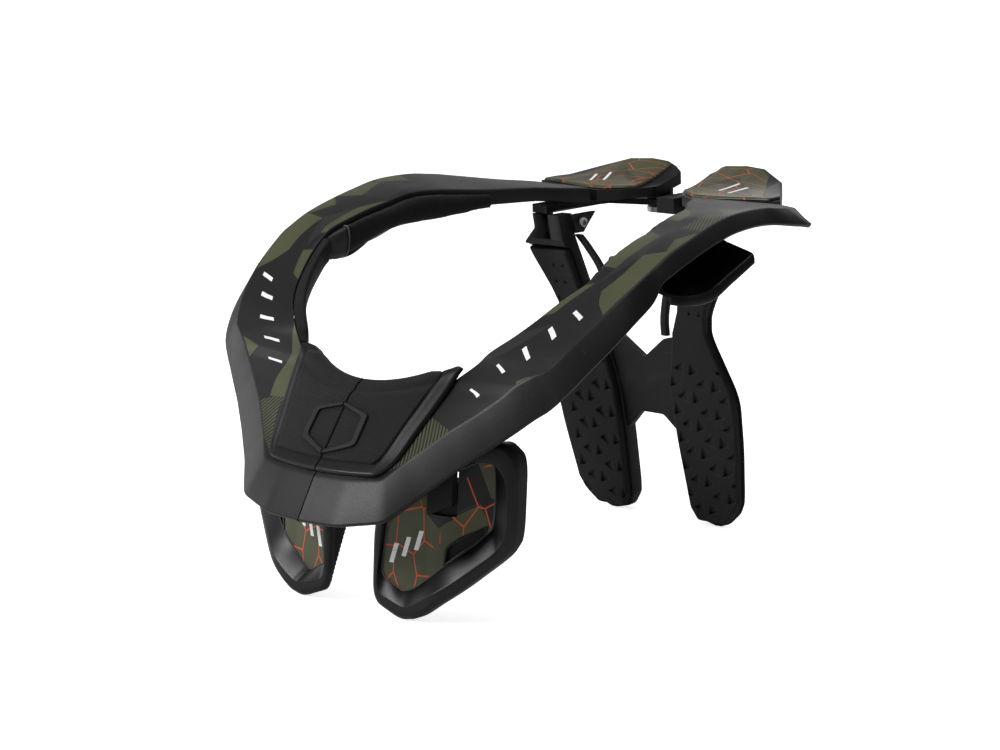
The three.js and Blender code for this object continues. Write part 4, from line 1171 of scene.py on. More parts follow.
def make_scoop(side, sign, body):
    """Wall from the arm's underside down to the floor and out to a rim that turns down."""
    rows = flowing(SCOOP_ROWS, np.linspace(0, len(SCOOP_ROWS) - 1, 70))
    top = place(rows[:, 0:3])
    floor = place(rows[:, 3:6])
    rim = place(rows[:, 6:9])
    top[:, 2] = arm_underside(top)
    lip = rim + np.array([LIP_FLARE, 0, -SCOOP_LIP])
    skin = np.stack([top, floor, rim, lip], axis=1)
    inner = inset(skin, SCOOP_WALL)
    corners = np.concatenate([skin, inner[:, ::-1]], axis=1)
    rings = rounded(corners, SCOOP_RADII, 4)
    mesh = solid(f"shoulder_scoop_{side}", flipped(rings, sign), smooth_angle=50)
    add_piece(mesh, body, GLOSS_BLACK, [f"shoulder_shell_{side}"])


# Chest piece: a tray with a printed plate and foam behind it
# Columns: x, low z, high z.
CHEST_OUTLINE = [
    [0.115, 0.05, 0.22],
    [0.134, 0.026, 0.27],
    [0.2, 0.008, 0.325],
    [0.267, 0, 0.36],
    [0.31, 0, 0.385],
    [0.355, 0.014, 0.4],
    [0.48, 0.073, 0.43],
    [0.625, 0.156, 0.463],
    [0.668, 0.19, 0.447],
    [0.689, 0.225, 0.415],
]
CHEST_FRONT = -0.0743
CHEST_LEAN = 0.095
CHEST_WRAP = 0.56
CHEST_TURN = 0.43
CHEST_BEND = 0.046
TRAY_SHALLOW = 2 * MM
TRAY_DEEP = 6 * MM
DEEP_START = 0.13       # across, where the tray starts to deepen, and how far it goes on
DEEP_RUN = 0.22
PLATE_WALL = 1.6 * MM
PLATE_BORDER = 0.012
PLATE_FIRST = 0.127     # the plate and the foam between these shares across
PLATE_LAST = 0.677
FOAM_FIRST = 0.135
NOTCH_LOW = 0.365
NOTCH_HIGH = 0.47
NOTCH_FOOT = 0.27
FOAM_NOTCH_FOOT = 0.355
CHEST_PAD_BACK = 21 * MM
CHEST_PAD_FOOT = 1.8 * MM
CHEST_PAD_OUTER = 0.56


def chest_face(x, z, back):
    """The chest piece's face from shares x and z: it leans back with the height, and its outer
    part wraps back along a hyperbola."""
    x, z, back = np.broadcast_arrays(x * HALF_WIDTH, z * HEIGHT, back)
    past = x - CHEST_TURN * HALF_WIDTH
    bend = CHEST_WRAP * (past + np.hypot(past, CHEST_BEND * HALF_WIDTH)) / 2
    y = CHEST_FRONT * DEPTH + CHEST_LEAN * z + bend + back + SHIFT[1]
    return np.stack([x, y, z], axis=-1)


def floor_depth(x):
    share = np.clip((x - DEEP_START) / DEEP_RUN, 0, 1)
    return TRAY_SHALLOW + (TRAY_DEEP - TRAY_SHALLOW) * share


# The tray's rim, from the right side of the notch round to its left side.
# Columns: outer edge x z, window edge on the face x z, window edge at the plate x z.
RIM_ROWS = [
    [0.47, 0.428, 0.47, 0.389, 0.47, 0.387],
    [0.55, 0.447, 0.54, 0.415, 0.544, 0.413],
    [0.635, 0.465, 0.62, 0.41, 0.573, 0.415],
    [0.689, 0.425, 0.662, 0.362, 0.593, 0.4],
    [0.689, 0.225, 0.662, 0.226, 0.599, 0.288],
    [0.655, 0.18, 0.619, 0.185, 0.592, 0.238],
    [0.5, 0.085, 0.488, 0.11, 0.4, 0.127],
    [0.345, 0.01, 0.325, 0.042, 0.292, 0.074],
    [0.26, 0, 0.28, 0.034, 0.246, 0.066],
    [0.12, 0.035, 0.138, 0.058, 0.142, 0.1],
    [0.115, 0.21, 0.155, 0.2, 0.16, 0.2],
    [0.14, 0.275, 0.16, 0.24, 0.165, 0.235],
    [0.25, 0.352, 0.26, 0.288, 0.262, 0.284],
    [0.365, 0.403, 0.365, 0.339, 0.365, 0.336],
]
RIM_CHAMFER = 2 * MM
SKIRT_WALL = 1.3 * MM
RIM_EASE = 0.3
TRAY_ACROSS = np.array([0, 1, 2, 2.6, 3, 4, 5])     # pattern places of the profile's corners
TRAY_RADII = np.array([0.5, 0.5, 0.2, 0.1, 0.2, 0.5, 0.5]) * MM


def rim_stations():
    return eased(RIM_ROWS, np.linspace(0, len(RIM_ROWS) - 1, 240), RIM_EASE)


def make_chest_tray(side, sign, body):
    """A profile carried round the tray: chamfered outside, a flat face, and a wall that runs in
    to the plate."""
    rows = rim_stations()
    outer = rows[:, 0:2]
    face = rows[:, 2:4]
    deep = rows[:, 4:6]
    depth = floor_depth(outer[:, 0])
    gap = (face - outer) * np.array([HALF_WIDTH, HEIGHT])
    length = np.maximum(np.linalg.norm(gap, axis=1), 1e-6)[:, None]
    edge = outer + (face - outer) * np.minimum(RIM_CHAMFER / length, 0.5)
    skirt = outer + (face - outer) * np.minimum(SKIRT_WALL / length, 0.5)
    back = depth + PLATE_WALL + CLEARANCE
    corners = np.stack([
        chest_face(edge[:, 0], edge[:, 1], 0 * depth),
        chest_face(face[:, 0], face[:, 1], 0 * depth),
        chest_face(deep[:, 0], deep[:, 1], floor_depth(deep[:, 0])),
        chest_face(skirt[:, 0], skirt[:, 1], depth),
        chest_face(skirt[:, 0], skirt[:, 1], back),
        chest_face(outer[:, 0], outer[:, 1], back),
        chest_face(outer[:, 0], outer[:, 1], 0.35 * depth),
    ], axis=1)
    across = np.broadcast_to(TRAY_ACROSS[None, :, None], corners.shape[:2] + (1,))
    rings = rounded(np.concatenate([corners, across], axis=2), TRAY_RADII)
    along = np.broadcast_to(np.arange(len(rings))[:, None], rings.shape[:2])
    uv = np.stack([along, rings[..., 3]], axis=-1)
    mesh = solid(f"chest_tray_{side}", flipped(rings[..., :3], sign), uv, smooth_angle=35)
    add_piece(mesh, body, TRAY_BLACK, [f"chest_frame_{side}"])


TRIM_MIDDLE = np.array([0.36, 0.22])    # x and z that the trim's section reaches towards
TRIM_NEAR = 0.2 * MM
TRIM_FAR = 1.0 * MM
TRIM_BURIED = 0.25 * MM
TRIM_HEIGHT = 0.35 * MM


def make_chest_trim(side, sign, body):
    """A thin light line round the plate where it meets the tray: a small square section carried
    round the window's inner edge."""
    rows = rim_stations()[:, 4:6]
    inward = (TRIM_MIDDLE - rows) * np.array([HALF_WIDTH, HEIGHT])
    step = inward / np.linalg.norm(inward, axis=1, keepdims=True) / np.array([HALF_WIDTH, HEIGHT])
    near = rows + step * TRIM_NEAR
    far = rows + step * TRIM_FAR
    low = floor_depth(rows[:, 0]) + TRIM_BURIED
    corners = np.stack([
        chest_face(near[:, 0], near[:, 1], low),
        chest_face(near[:, 0], near[:, 1], low - TRIM_HEIGHT),
        chest_face(far[:, 0], far[:, 1], low - TRIM_HEIGHT),
        chest_face(far[:, 0], far[:, 1], low),
    ], axis=1)
    mesh = solid(f"plate_trim_{side}", flipped(rounded(corners, 0.1 * MM, 1), sign))
    add_piece(mesh, body, EDGE_GREY)


def notched_spans(first, last, border, steps, foot):
    """Stations across the chest piece with the low and the high edge at each; the high edge steps
    down to the foot of the notch."""
    x = np.linspace(first, last, steps)
    edges = [NOTCH_LOW - 1e-4, NOTCH_LOW, NOTCH_HIGH, NOTCH_HIGH + 1e-4]
    x = np.unique(np.concatenate([x, [e for e in edges if first < e < last]]))
    low = read_at(CHEST_OUTLINE, 1, x) + border
    high = read_at(CHEST_OUTLINE, 2, x) - border
    notched = (x >= NOTCH_LOW) & (x <= NOTCH_HIGH)
    return x, low, np.where(notched, foot, high)


# The slot beside the plate's middle. Columns: x, z.
SLOT_CORNERS = np.array([[0.43, 0.145], [0.565, 0.225], [0.57, 0.25], [0.44, 0.195]])


def make_chest_plate(side, sign, body):
    """The printed plate at the tray's floor, with the slot cut through it."""
    x, low, high = notched_spans(PLATE_FIRST, PLATE_LAST, 2 * PLATE_BORDER, 90, NOTCH_FOOT)
    share = np.linspace(0, 1, 60)[None, :]
    z = low[:, None] + (high - low)[:, None] * share
    wide = np.broadcast_to(x[:, None], z.shape)
    depth = floor_depth(wide) + CLEARANCE
    front = chest_face(wide, z, depth)
    back = chest_face(wide, z, depth + PLATE_WALL)
    uv = np.stack([wide, z], axis=-1)
    mesh = slab(f"chest_plate_print_{side}", flipped(front, sign), flipped(back, sign), uv, smooth_angle=50)
    piece = add_piece(mesh, body, CHEST_PRINT, [f"chest_plate_{side}"])
    tool = np.stack([
        chest_face(SLOT_CORNERS[:, 0], SLOT_CORNERS[:, 1], 0),
        chest_face(SLOT_CORNERS[:, 0], SLOT_CORNERS[:, 1], 2 * TRAY_DEEP),
    ])
    cut_out(piece, solid("slot_tool", flipped(tool, sign)))


def make_slot_rim(side, sign, body):
    """A raised rim round the slot: a small section carried round its corners."""
    closed = np.concatenate([SLOT_CORNERS, SLOT_CORNERS[:1]])
    path = eased(np.concatenate([closed, closed[1:2]]), np.linspace(0.5, 4.5, 121), 0.2)[:-1]
    middle = SLOT_CORNERS.mean(axis=0)
    outward = (path - middle) * np.array([HALF_WIDTH, HEIGHT])
    step = outward / np.linalg.norm(outward, axis=1, keepdims=True) / np.array([HALF_WIDTH, HEIGHT])
    near = path - step * 0.4 * MM
    far = path + step * 1.2 * MM
    low = floor_depth(path[:, 0]) + CLEARANCE
    corners = np.stack([
        chest_face(near[:, 0], near[:, 1], low + 1 * MM),
        chest_face(near[:, 0], near[:, 1], low - 0.6 * MM),
        chest_face(far[:, 0], far[:, 1], low - 0.5 * MM),
        chest_face(far[:, 0], far[:, 1], low + 0.1 * MM),
    ], axis=1)
    mesh = solid(f"slot_rim_{side}", flipped(rounded(corners, 0.25 * MM, 2), sign), closed=True)
    add_piece(mesh, body, SATIN_BLACK)


FOAM_GROOVE = 0.5 * MM
FOAM_GROOVE_PITCH = 4 * MM
FOAM_EDGE = 2.5 * MM
FOAM_LEAST = 0.8 * MM


def make_chest_foam(side, sign, body):
    """The foam wedge behind the plate: thin at its foot and thick at its top, with shallow level
    grooves across its back."""
    x, low, high = notched_spans(FOAM_FIRST, CHEST_PAD_OUTER, 2 * PLATE_BORDER, 70, FOAM_NOTCH_FOOT)
    share = np.linspace(0, 1, 70)[None, :]
    z = low[:, None] + (high - low)[:, None] * share
    wide = np.broadcast_to(x[:, None], z.shape)
    front_depth = floor_depth(wide) + PLATE_WALL + 2 * CLEARANCE
    full_high = read_at(CHEST_OUTLINE, 2, x)[:, None] - PLATE_BORDER
    rise = np.clip((z - low[:, None]) / (full_high - low[:, None]), 0, 1)
    back_depth = (front_depth + CHEST_PAD_FOOT) * (1 - rise) + CHEST_PAD_BACK * rise
    groove = FOAM_GROOVE * np.cos(z * HEIGHT / FOAM_GROOVE_PITCH * 2 * np.pi) ** 8
    edge = np.minimum(np.minimum(wide - x[0], x[-1] - wide) * HALF_WIDTH, (z[:, -1:] - z) * HEIGHT)
    back_depth = back_depth - groove - edge_drop(edge, FOAM_EDGE)
    back_depth = np.maximum(back_depth, front_depth + FOAM_LEAST)
    front = chest_face(wide, z, front_depth)
    back = chest_face(wide, z, back_depth)
    mesh = slab(f"chest_foam_{side}", flipped(front, sign), flipped(back, sign), smooth_angle=50)
    piece = add_piece(mesh, body, MOULDED_FOAM, [f"chest_pad_{side}"])


# Wings at the back
# Columns: x, front y, back y, front top z, back top z, front foot z, back foot z.
WING_ROWS = [
    [0.077, 0.74, 0.811, 0.925, 0.955, 0.894, 0.92],
    [0.115, 0.716, 0.818, 0.923, 0.968, 0.897, 0.925],
    [0.162, 0.69, 0.82, 0.922, 0.98, 0.893, 0.935],
    [0.25, 0.669, 0.822, 0.921, 0.984, 0.889, 0.94],
    [0.346, 0.67, 0.82, 0.921, 0.98, 0.889, 0.935],
    [0.477, 0.682, 0.797, 0.924, 0.952, 0.889, 0.915],
    [0.56, 0.69, 0.75, 0.926, 0.93, 0.89, 0.9],
    [0.615, 0.695, 0.715, 0.926, 0.925, 0.892, 0.893],
]
WING_RISE = 1.6
WING_PLATE_WALL = 1.2 * MM
PLATE_INNER = 0.13
PLATE_OUTER = 0.6
PLATE_FRONT = 0.06
PLATE_BACK = 0.95
PLATE_EDGE = 0.8 * MM


def wing_surface(x, along, top):
    """The wing's top or underside: the top rises towards the back with along**1.6."""
    columns = [read_at(WING_ROWS, column, x)[:, None] for column in range(1, 7)]
    front, back, front_top, back_top, front_foot, back_foot = columns
    y = front + (back - front) * along
    low, high = (front_top, back_top) if top else (front_foot, back_foot)
    z = low + (high - low) * (along**WING_RISE if top else along)
    wide = np.broadcast_to(x[:, None], y.shape)
    return place(np.stack([wide, y, z], axis=-1))


def make_wing(side, sign, body):
    x = np.linspace(WING_ROWS[0][0], WING_ROWS[-1][0], 60)
    along = np.linspace(0, 1, 24)[None, :]
    top = wing_surface(x, along, True)
    foot = wing_surface(x, along, False)
    mesh = slab(f"wing_{side}", flipped(top, sign), flipped(foot, sign), smooth_angle=35)
    piece = add_piece(mesh, body, SATIN_BLACK, [f"wing_body_{side}"])
    add_bevel(piece, 0.9 * MM)


def make_wing_plate(side, sign, body):
    """The printed plate on the wing, its edges rounded down."""
    x = np.linspace(PLATE_INNER, PLATE_OUTER, 90)
    along = np.linspace(PLATE_FRONT, PLATE_BACK, 50)[None, :]
    base = wing_surface(x, along, True)
    to_ends = np.minimum(x - PLATE_INNER, PLATE_OUTER - x)[:, None] * HALF_WIDTH
    span = (read_at(WING_ROWS, 2, x) - read_at(WING_ROWS, 1, x))[:, None] * DEPTH
    to_sides = np.minimum(along - PLATE_FRONT, PLATE_BACK - along) * span
    lift = CLEARANCE + WING_PLATE_WALL - edge_drop(to_ends, PLATE_EDGE) - edge_drop(to_sides, PLATE_EDGE)
    up = np.array([0, 0, 1.0])
    front = base + lift[..., None] * up
    back = base + CLEARANCE * up * np.ones(lift.shape + (1,))
    uv = np.stack([np.broadcast_to(x[:, None], lift.shape), np.broadcast_to(along, lift.shape)], axis=-1)
    mesh = slab(f"wing_print_{side}", flipped(front, sign), flipped(back, sign), uv, smooth_angle=50)
    add_piece(mesh, body, WING_PRINT, [f"wing_plate_{side}"])


PIN_X = 0.131
PIN_Y = 0.78
PIN_RADIUS = 3.5
CARRIER_TOP = 0.884
BOSS_TOP = 0.925


def make_wing_boss(side, sign, body):
    """The boss round the hinge pin, under the wing."""
    centre = flipped(place([PIN_X, PIN_Y, CARRIER_TOP]), sign)
    high = (BOSS_TOP - CARRIER_TOP) * HEIGHT / MM
    bore = PIN_RADIUS + 0.08
    rim = 2 * PIN_RADIUS
    profile = [[bore, 0.5], [bore + 0.3, 0.3], [rim - 0.5, 0.3], [rim, 0.8], [rim, high], [bore, high]]
    mesh = turned(f"wing_boss_{side}", centre, profile)
    add_piece(mesh, body, MATT_BLACK)


# Back strut: two legs, a web and their pads
STRUT_TOP_Y = 0.593
STRUT_FOOT_Y = 0.698
STRUT_TOP = 0.858
# Columns: z, inner x, outer x, thickness at the inner side, at the outer side in millimetres.
LEG_ROWS = [
    [0, 0.262, 0.3, 8, 6],
    [0.012, 0.19, 0.35, 11, 6],
    [0.05, 0.158, 0.415, 13, 6],
    [0.085, 0.156, 0.443, 14, 6],
    [0.24, 0.142, 0.478, 14, 6],
    [0.39, 0.14, 0.496, 14, 6],
    [0.56, 0.2, 0.395, 12, 6],
    [0.62, 0.238, 0.405, 12, 7],
    [0.765, 0.292, 0.53, 12, 8],
    [0.775, 0.296, 0.522, 12, 8],
    [0.8, 0.304, 0.485, 12, 9],
    [0.816, 0.304, 0.458, 12, 10],
    [0.858, 0.304, 0.458, 12, 10],
]
FORK_LOW = [0.368, 0.5, 0.787]      # two corners of the slot in the leg's forked top
FORK_HIGH = [0.412, 0.66, 0.9]
LEG_EASE = 0.25
LEG_RADII = np.array([0.9, 1.4, 1.8, 2.4]) * MM
LEG_TOP_STEP = 0.012    # height share over which the leg comes forward above its pad
LEG_PAD_WALL = 4 * MM
LEG_PAD_BORDER = 0.012
LEG_PAD_EDGE = 1.6 * MM
DIMPLE_FREE = (1 * MM, 1.6 * MM)    # from the pad's edge, where dimples start and are full
LEG_PAD_FOOT = 0.012
LEG_PAD_TOP = 0.76


def strut_face(z):
    return (STRUT_FOOT_Y + (STRUT_TOP_Y - STRUT_FOOT_Y) * z / STRUT_TOP) * DEPTH + SHIFT[1]


def make_strut_leg(side, sign):
    """One leg: a four-cornered section carried up, set back under its pad, with a forked top."""
    rows = eased(LEG_ROWS, np.linspace(0, len(LEG_ROWS) - 1, 150), LEG_EASE)
    z, inner, outer = rows[:, 0], rows[:, 1] * HALF_WIDTH, rows[:, 2] * HALF_WIDTH
    face = strut_face(z)
    front = face + (LEG_PAD_WALL + CLEARANCE) * (1 - ramp(z, LEG_PAD_TOP, LEG_PAD_TOP + LEG_TOP_STEP))
    up = z * HEIGHT
    back_outer = face + rows[:, 4] * MM
    back_inner = face + rows[:, 3] * MM
    corners = np.stack([
        np.stack([inner, front, up], axis=-1),
        np.stack([outer, front, up], axis=-1),
        np.stack([outer - 1 * MM, np.maximum(back_outer, front + 1 * MM), up], axis=-1),
        np.stack([inner + 0.8 * MM, np.maximum(back_inner, front + 1 * MM), up], axis=-1),
    ], axis=1)
    rings = rounded(corners, LEG_RADII)
    mesh = solid(f"strut_leg_{side}", flipped(rings, sign), smooth_angle=45)
    replaced = ["strut_frame"] if side == "r" else []
    piece = add_piece(mesh, "back", MATT_BLACK, replaced)
    low = place(FORK_LOW)
    high = place(FORK_HIGH)
    ring = np.array([[low[0], low[1]], [high[0], low[1]], [high[0], high[1]], [low[0], high[1]]])
    tool = np.stack([np.column_stack([ring, np.full(4, level)]) for level in (low[2], high[2])])
    cut_out(piece, solid("fork_tool", flipped(tool, sign)))


# The web between the legs. Columns: x, low z, high z.
WEB_ROWS = [
    [-0.23, 0.3, 0.54],
    [-0.16, 0.24, 0.535],
    [-0.12, 0.265, 0.53],
    [-0.06, 0.305, 0.499],
    [0, 0.305, 0.468],
    [0.06, 0.305, 0.499],
    [0.12, 0.265, 0.53],
    [0.16, 0.24, 0.535],
    [0.23, 0.3, 0.54],
]
WEB_SET = 6 * MM
WEB_WALL = 4.5 * MM
WEB_EASE = 0.2
WEB_RIB = 0.9 * MM
WEB_RIB_WIDTH = 0.12


def make_web():
    """The web: a plate between its low and high edge at each station across, with a rib along
    its middle height."""
    rows = eased(WEB_ROWS, np.linspace(0, len(WEB_ROWS) - 1, 120), WEB_EASE)
    share = np.linspace(0, 1, 24)[None, :]
    z = rows[:, 1:2] + (rows[:, 2:3] - rows[:, 1:2]) * share
    wide = np.broadcast_to(rows[:, :1], z.shape) * HALF_WIDTH
    face = strut_face(z)
    rib = WEB_RIB * np.exp(-(((share - 0.5) / WEB_RIB_WIDTH) ** 2))
    front = np.stack([wide, face + WEB_SET - rib, z * HEIGHT], axis=-1)
    back = np.stack([wide, face + WEB_SET + WEB_WALL + 0 * wide, z * HEIGHT], axis=-1)
    piece = add_piece(slab("strut_web", front, back), "back", MATT_BLACK)
    add_bevel(piece, 0.8 * MM)


DIMPLE_REACH = 2.0 * MM      # from a dimple's middle to each of its three sides
DIMPLE_DEPTH = 1.7 * MM
DIMPLE_PITCH = 15.4 * MM     # from one dimple to the next of its kind in a column
DIMPLE_SHIFT = 5.6 * MM      # how far the second kind stands beside the first
DIMPLE_LOW = 10 * MM
DIMPLE_ROWS = 12
DIMPLE_COLUMNS = (-50, -36.5, -23, 24.5, 38.3, 52.1)
DIMPLE_TOP = 0.46
DIMPLE_EDGE = 0.25 * MM
DOT_REACH = 0.8 * MM
DOT_PITCH = 9 * MM
DOT_LOW = 0.62
DOT_COLUMNS = (42, 48.5)
DOT_ROWS = 3
DOT_TURN = 0.5
DOT_DEPTH = 0.6 * DIMPLE_DEPTH


def triangle_hole(x, z, middle_x, middle_z, turn, reach, depth):
    """A hole's depth at points: full where the largest of three side distances is small, and
    shallower towards one side, as a sloping floor."""
    sides = [turn + corner * 2 * math.pi / 3 for corner in range(3)]
    distances = [(x - middle_x) * math.cos(a) + (z - middle_z) * math.sin(a) for a in sides]
    inside = 1 - ramp(np.maximum.reduce(distances), reach - DIMPLE_EDGE, reach + DIMPLE_EDGE)
    slope = np.clip(0.5 - distances[0] / (3 * reach), 0.15, 1)
    return inside * depth * slope


def dimple_depth(x, z):
    """Depth of the pad's dimples: in each column two kinds of triangle take turns, and above them
    stand two rows of small dots."""
    depth = np.zeros(x.shape)
    for number, column in enumerate(DIMPLE_COLUMNS):
        for row in range(DIMPLE_ROWS):
            kind = (row + number) % 2
            middle_x = column * MM + kind * DIMPLE_SHIFT
            middle_z = DIMPLE_LOW + 0.5 * row * DIMPLE_PITCH
            if middle_z > DIMPLE_TOP * HEIGHT:
                continue
            turn = math.pi / 4 if kind == 0 else 0.0
            hole = triangle_hole(x, z, middle_x, middle_z, turn, DIMPLE_REACH, DIMPLE_DEPTH)
            depth = np.maximum(depth, hole)
    for sign in (-1, 1):
        for column in DOT_COLUMNS:
            for row in range(DOT_ROWS):
                middle_z = DOT_LOW * HEIGHT + row * DOT_PITCH
                hole = triangle_hole(x, z, sign * column * MM, middle_z, DOT_TURN, DOT_REACH, DOT_DEPTH)
                depth = np.maximum(depth, hole)
    return depth


def make_leg_pad(side, sign):
    """The pad on a leg: a grid between its inner and outer edge at each height, with rounded
    edges and triangular dimples, and a flat back."""
    z = np.linspace(LEG_PAD_FOOT, LEG_PAD_TOP, 330)
    places = np.interp(z, np.array(LEG_ROWS)[:, 0], np.arange(len(LEG_ROWS)))
    rows = eased(LEG_ROWS, places, LEG_EASE)
    inner = (rows[:, 1:2] + LEG_PAD_BORDER) * HALF_WIDTH
    outer = (rows[:, 2:3] - LEG_PAD_BORDER) * HALF_WIDTH
    share = np.linspace(0, 1, 110)[None, :]
    x = inner + (outer - inner) * share
    up = np.broadcast_to(z[:, None], x.shape)
    to_sides = np.minimum(x - inner, outer - x)
    to_ends = np.minimum(up - LEG_PAD_FOOT, LEG_PAD_TOP - up) * HEIGHT
    free = ramp(np.minimum(to_sides, to_ends), DIMPLE_FREE[0], DIMPLE_FREE[1])
    depth = dimple_depth(sign * x, up * HEIGHT) * free
    depth = depth + edge_drop(to_sides, LEG_PAD_EDGE) + edge_drop(to_ends, LEG_PAD_EDGE)
    face = strut_face(up)
    front = np.stack([x, face + depth, up * HEIGHT], axis=-1)
    back = np.stack([x, face + LEG_PAD_WALL, up * HEIGHT], axis=-1)
    mesh = slab(f"leg_cushion_{side}", flipped(front, sign), flipped(back, sign), smooth_angle=60)
    add_piece(mesh, "back", MOULDED_FOAM, [f"leg_pad_{side}"])


# Columns: x, y, z of the link's middle.
LINK_ROWS = [
    [0.285, 0.635, 0.8],
    [0.24, 0.64, 0.762],
    [0.18, 0.645, 0.7],
    [0.14, 0.65, 0.6],
    [0.132, 0.655, 0.54],
]
LINK_HALF = 2.2 * MM
LINK_SLIM = 0.7
LINK_CORNER = 0.8 * MM


def make_link(side, sign):
    """A slim bar: a small four-cornered section carried along its line."""
    middle = place(flowing(LINK_ROWS, np.linspace(0, len(LINK_ROWS) - 1, 60)))
    offsets = np.array([[-1, -LINK_SLIM, 0], [1, -LINK_SLIM, 0], [1, LINK_SLIM, 0], [-1, LINK_SLIM, 0]])
    rings = rounded(middle[:, None] + offsets[None] * LINK_HALF, LINK_CORNER)
    mesh = solid(f"strut_link_bar_{side}", flipped(rings, sign))
    add_piece(mesh, "back", MATT_BLACK, [f"strut_link_{side}"])


SCREW_Y = 0.64
SCREW_Z = 0.835
EAR_X = 0.3 * HALF_WIDTH
EAR_WALL = 2.4 * MM
HEAD_SET = 0.6 * MM         # the head's middle in front of the ear
LEAST_RADIUS = 0.02 * MM    # on the axis, so that no two points fall together
# Columns: radius, reach along the screw, in millimetres.
SCREW_PROFILE = [
    [0, -0.4],
    [1.1, -0.4],
    [1.3, -1.4],
    [2.1, -1.7],
    [2.6, -1.2],
    [2.6, 0.4],
    [0, 0.4],
]


def make_screw(side, sign):
    """The strut's screw: a turned head with a ring round a hollow, laid on its side."""
    profile = np.array(SCREW_PROFILE) * MM
    angles = np.linspace(0, 2 * np.pi, 40, endpoint=False)[:, None]
    middle = place([0, SCREW_Y, SCREW_Z])
    head = EAR_X - EAR_WALL - CLEARANCE - HEAD_SET
    radius = np.maximum(profile[:, 0], LEAST_RADIUS)
    rings = np.stack([
        head + profile[:, 1] + 0 * angles,
        middle[1] + radius * np.cos(angles),
        middle[2] + radius * np.sin(angles),
    ], axis=-1)
    mesh = solid(f"strut_screw_head_{side}", flipped(rings, sign), closed=True)
    add_piece(mesh, "back", BRUSHED_STEEL, [f"strut_screw_{side}"])


# CAD pieces that stay, with their edges softened
def dress_node(name, material, width):
    """A carried piece: its loose triangles are welded and its edges bevelled by modifiers."""
    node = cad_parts[name]
    node.data.materials.clear()
    node.data.materials.append(material)
    weld = node.modifiers.new("weld", "WELD")
    weld.merge_threshold = 0.005 * MM
    add_bevel(node, width, 2, 30)


FLOOR_FRONT = 6
FLOOR_BACK = 2
FLOOR_SIDE = 8
FLOOR_BEND = 0.6
WALL_HEIGHT = 5
FLOOR_GLOW = 0.75    # added to the floor as the camera sees it, so that it stays white


def make_stage():
    """A pale floor that curves up into a wall behind the object: a profile carried sideways."""
    bend = np.linspace(0, math.pi / 2, 24)[1:]
    curve = np.stack([FLOOR_BACK + FLOOR_BEND * np.sin(bend), FLOOR_BEND * (1 - np.cos(bend))], axis=-1)
    profile = np.concatenate([
        [[-FLOOR_FRONT, 0], [FLOOR_BACK, 0]], curve, [[FLOOR_BACK + FLOOR_BEND, WALL_HEIGHT]]])
    points = np.stack([
        np.stack([np.full(len(profile), side), profile[:, 0], profile[:, 1]], axis=-1)
        for side in (-FLOOR_SIDE, FLOOR_SIDE)])
    forward = np.array(CAMERA_FORWARD[:2]) / np.linalg.norm(CAMERA_FORWARD[:2])
    turn = np.array([[forward[1], forward[0], 0], [-forward[0], forward[1], 0], [0, 0, 1]])
    points = points @ turn.T
    count = len(profile)
    i = np.arange(count - 1)
    faces = np.stack([i, i + 1, count + i + 1, count + i], axis=-1)
    mesh = bpy.data.meshes.new("floor")
    mesh.from_pydata(points.reshape(-1, 3).tolist(), [], faces.tolist())
    mesh.shade_smooth()
    floor = bpy.data.objects.new("floor", mesh)
    bpy.context.scene.collection.objects.link(floor)
    material, tree, shader, coordinates = new_material("floor_paint", 0.7)
    shader.inputs["Base Color"].default_value = (0.9, 0.9, 0.9, 1)
    shader.inputs["Emission Color"].default_value = (1, 1, 1, 1)
    seen = tree.nodes.new("ShaderNodeLightPath").outputs["Is Camera Ray"]
    tree.links.new(calc(tree, "MULTIPLY", seen, FLOOR_GLOW), shader.inputs["Emission Strength"])
    mesh.materials.append(material)


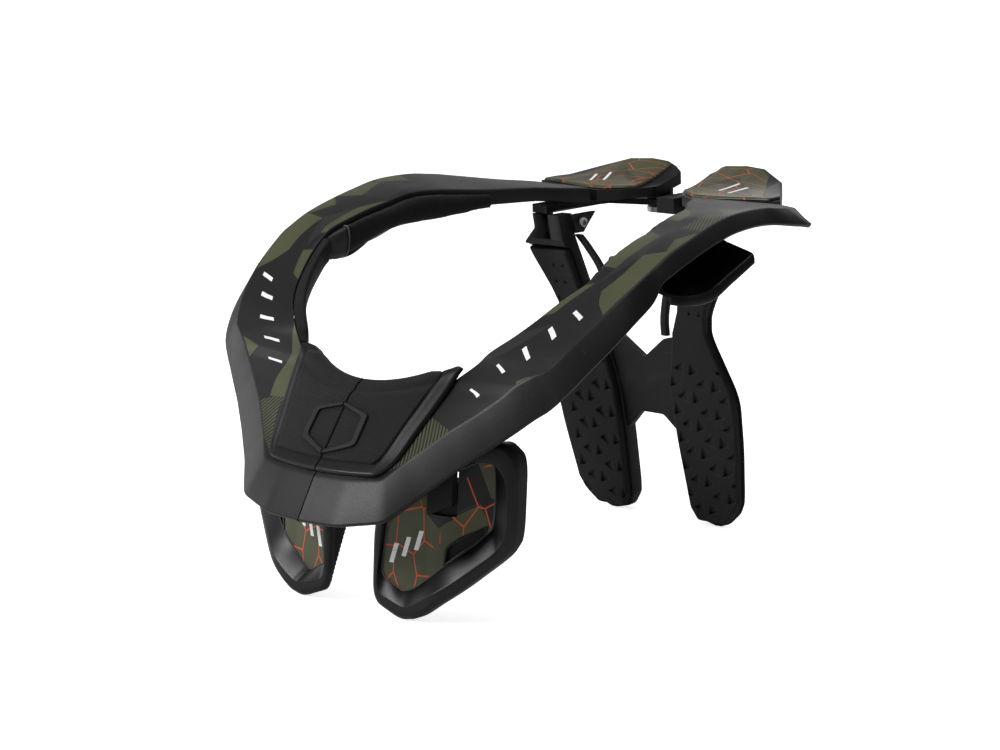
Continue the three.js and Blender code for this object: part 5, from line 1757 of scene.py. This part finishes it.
def add_light(name, location, target, size, power):
    data = bpy.data.lights.new(name, "AREA")
    data.energy = power
    data.shape = "RECTANGLE"
    data.size, data.size_y = size
    light = bpy.data.objects.new(name, data)
    bpy.context.scene.collection.objects.link(light)
    way = np.array(target, float) - np.array(location, float)
    z = -way / np.linalg.norm(way)
    x = np.cross([0, 0, 1.0], z)
    x = x / np.linalg.norm(x)
    y = np.cross(z, x)
    light.matrix_world = Matrix((
        (x[0], y[0], z[0], location[0]), (x[1], y[1], z[1], location[1]),
        (x[2], y[2], z[2], location[2]), (0, 0, 0, 1)))


SKY_STRENGTH = 0.17
# Columns: name, place, target, size, power in watts.
SOFTBOXES = [
    ("top_softbox", (0.1, -0.1, 1.6), (0, 0, 0.1), (1.4, 1.4), 12),
    ("fascia_softbox", (-0.7, -1.2, 0.88), (0, -0.1, 0.08), (0.3, 0.45), 17),
    ("left_softbox", (-1.55, -0.25, 0.28), (0, 0, 0.1), (0.5, 0.5), 2.2),
    ("back_softbox", (-0.5, 1.6, 0.9), (0, 0, 0.15), (1.4, 0.5), 4),
]


def make_lights():
    world = bpy.data.worlds.new("studio")
    bpy.context.scene.world = world
    world.use_nodes = True
    background = world.node_tree.nodes["Background"]
    background.inputs["Color"].default_value = (1, 1, 1, 1)
    background.inputs["Strength"].default_value = SKY_STRENGTH
    for name, location, target, size, power in SOFTBOXES:
        add_light(name, location, target, size, power)
    bpy.context.scene.view_settings.view_transform = "Standard"


for half_side, half_sign, half_body in HALVES:
    for make in (
        make_arm, make_bezel, make_insert, make_emblem, make_liner, make_shoulder_pad, make_pad_flange,
        make_pad_piping, make_scoop, make_chest_tray, make_chest_trim, make_chest_plate, make_slot_rim,
        make_chest_foam, make_wing, make_wing_plate, make_wing_boss,
    ):
        make(half_side, half_sign, half_body)
for strut_side, strut_sign in SIDES:
    for make in (make_strut_leg, make_leg_pad, make_link, make_screw):
        make(strut_side, strut_sign)
    dress_node(f"chest_bracket_{strut_side}", MATT_BLACK, 0.5 * MM)
    dress_node(f"strut_bracket_{strut_side}", MATT_BLACK, 0.4 * MM)
    dress_node(f"hinge_pin_{strut_side}", BRUSHED_STEEL, 0.3 * MM)
make_web()
dress_node("rear_carrier", MATT_BLACK, 0.5 * MM)
make_stage()
make_lights()
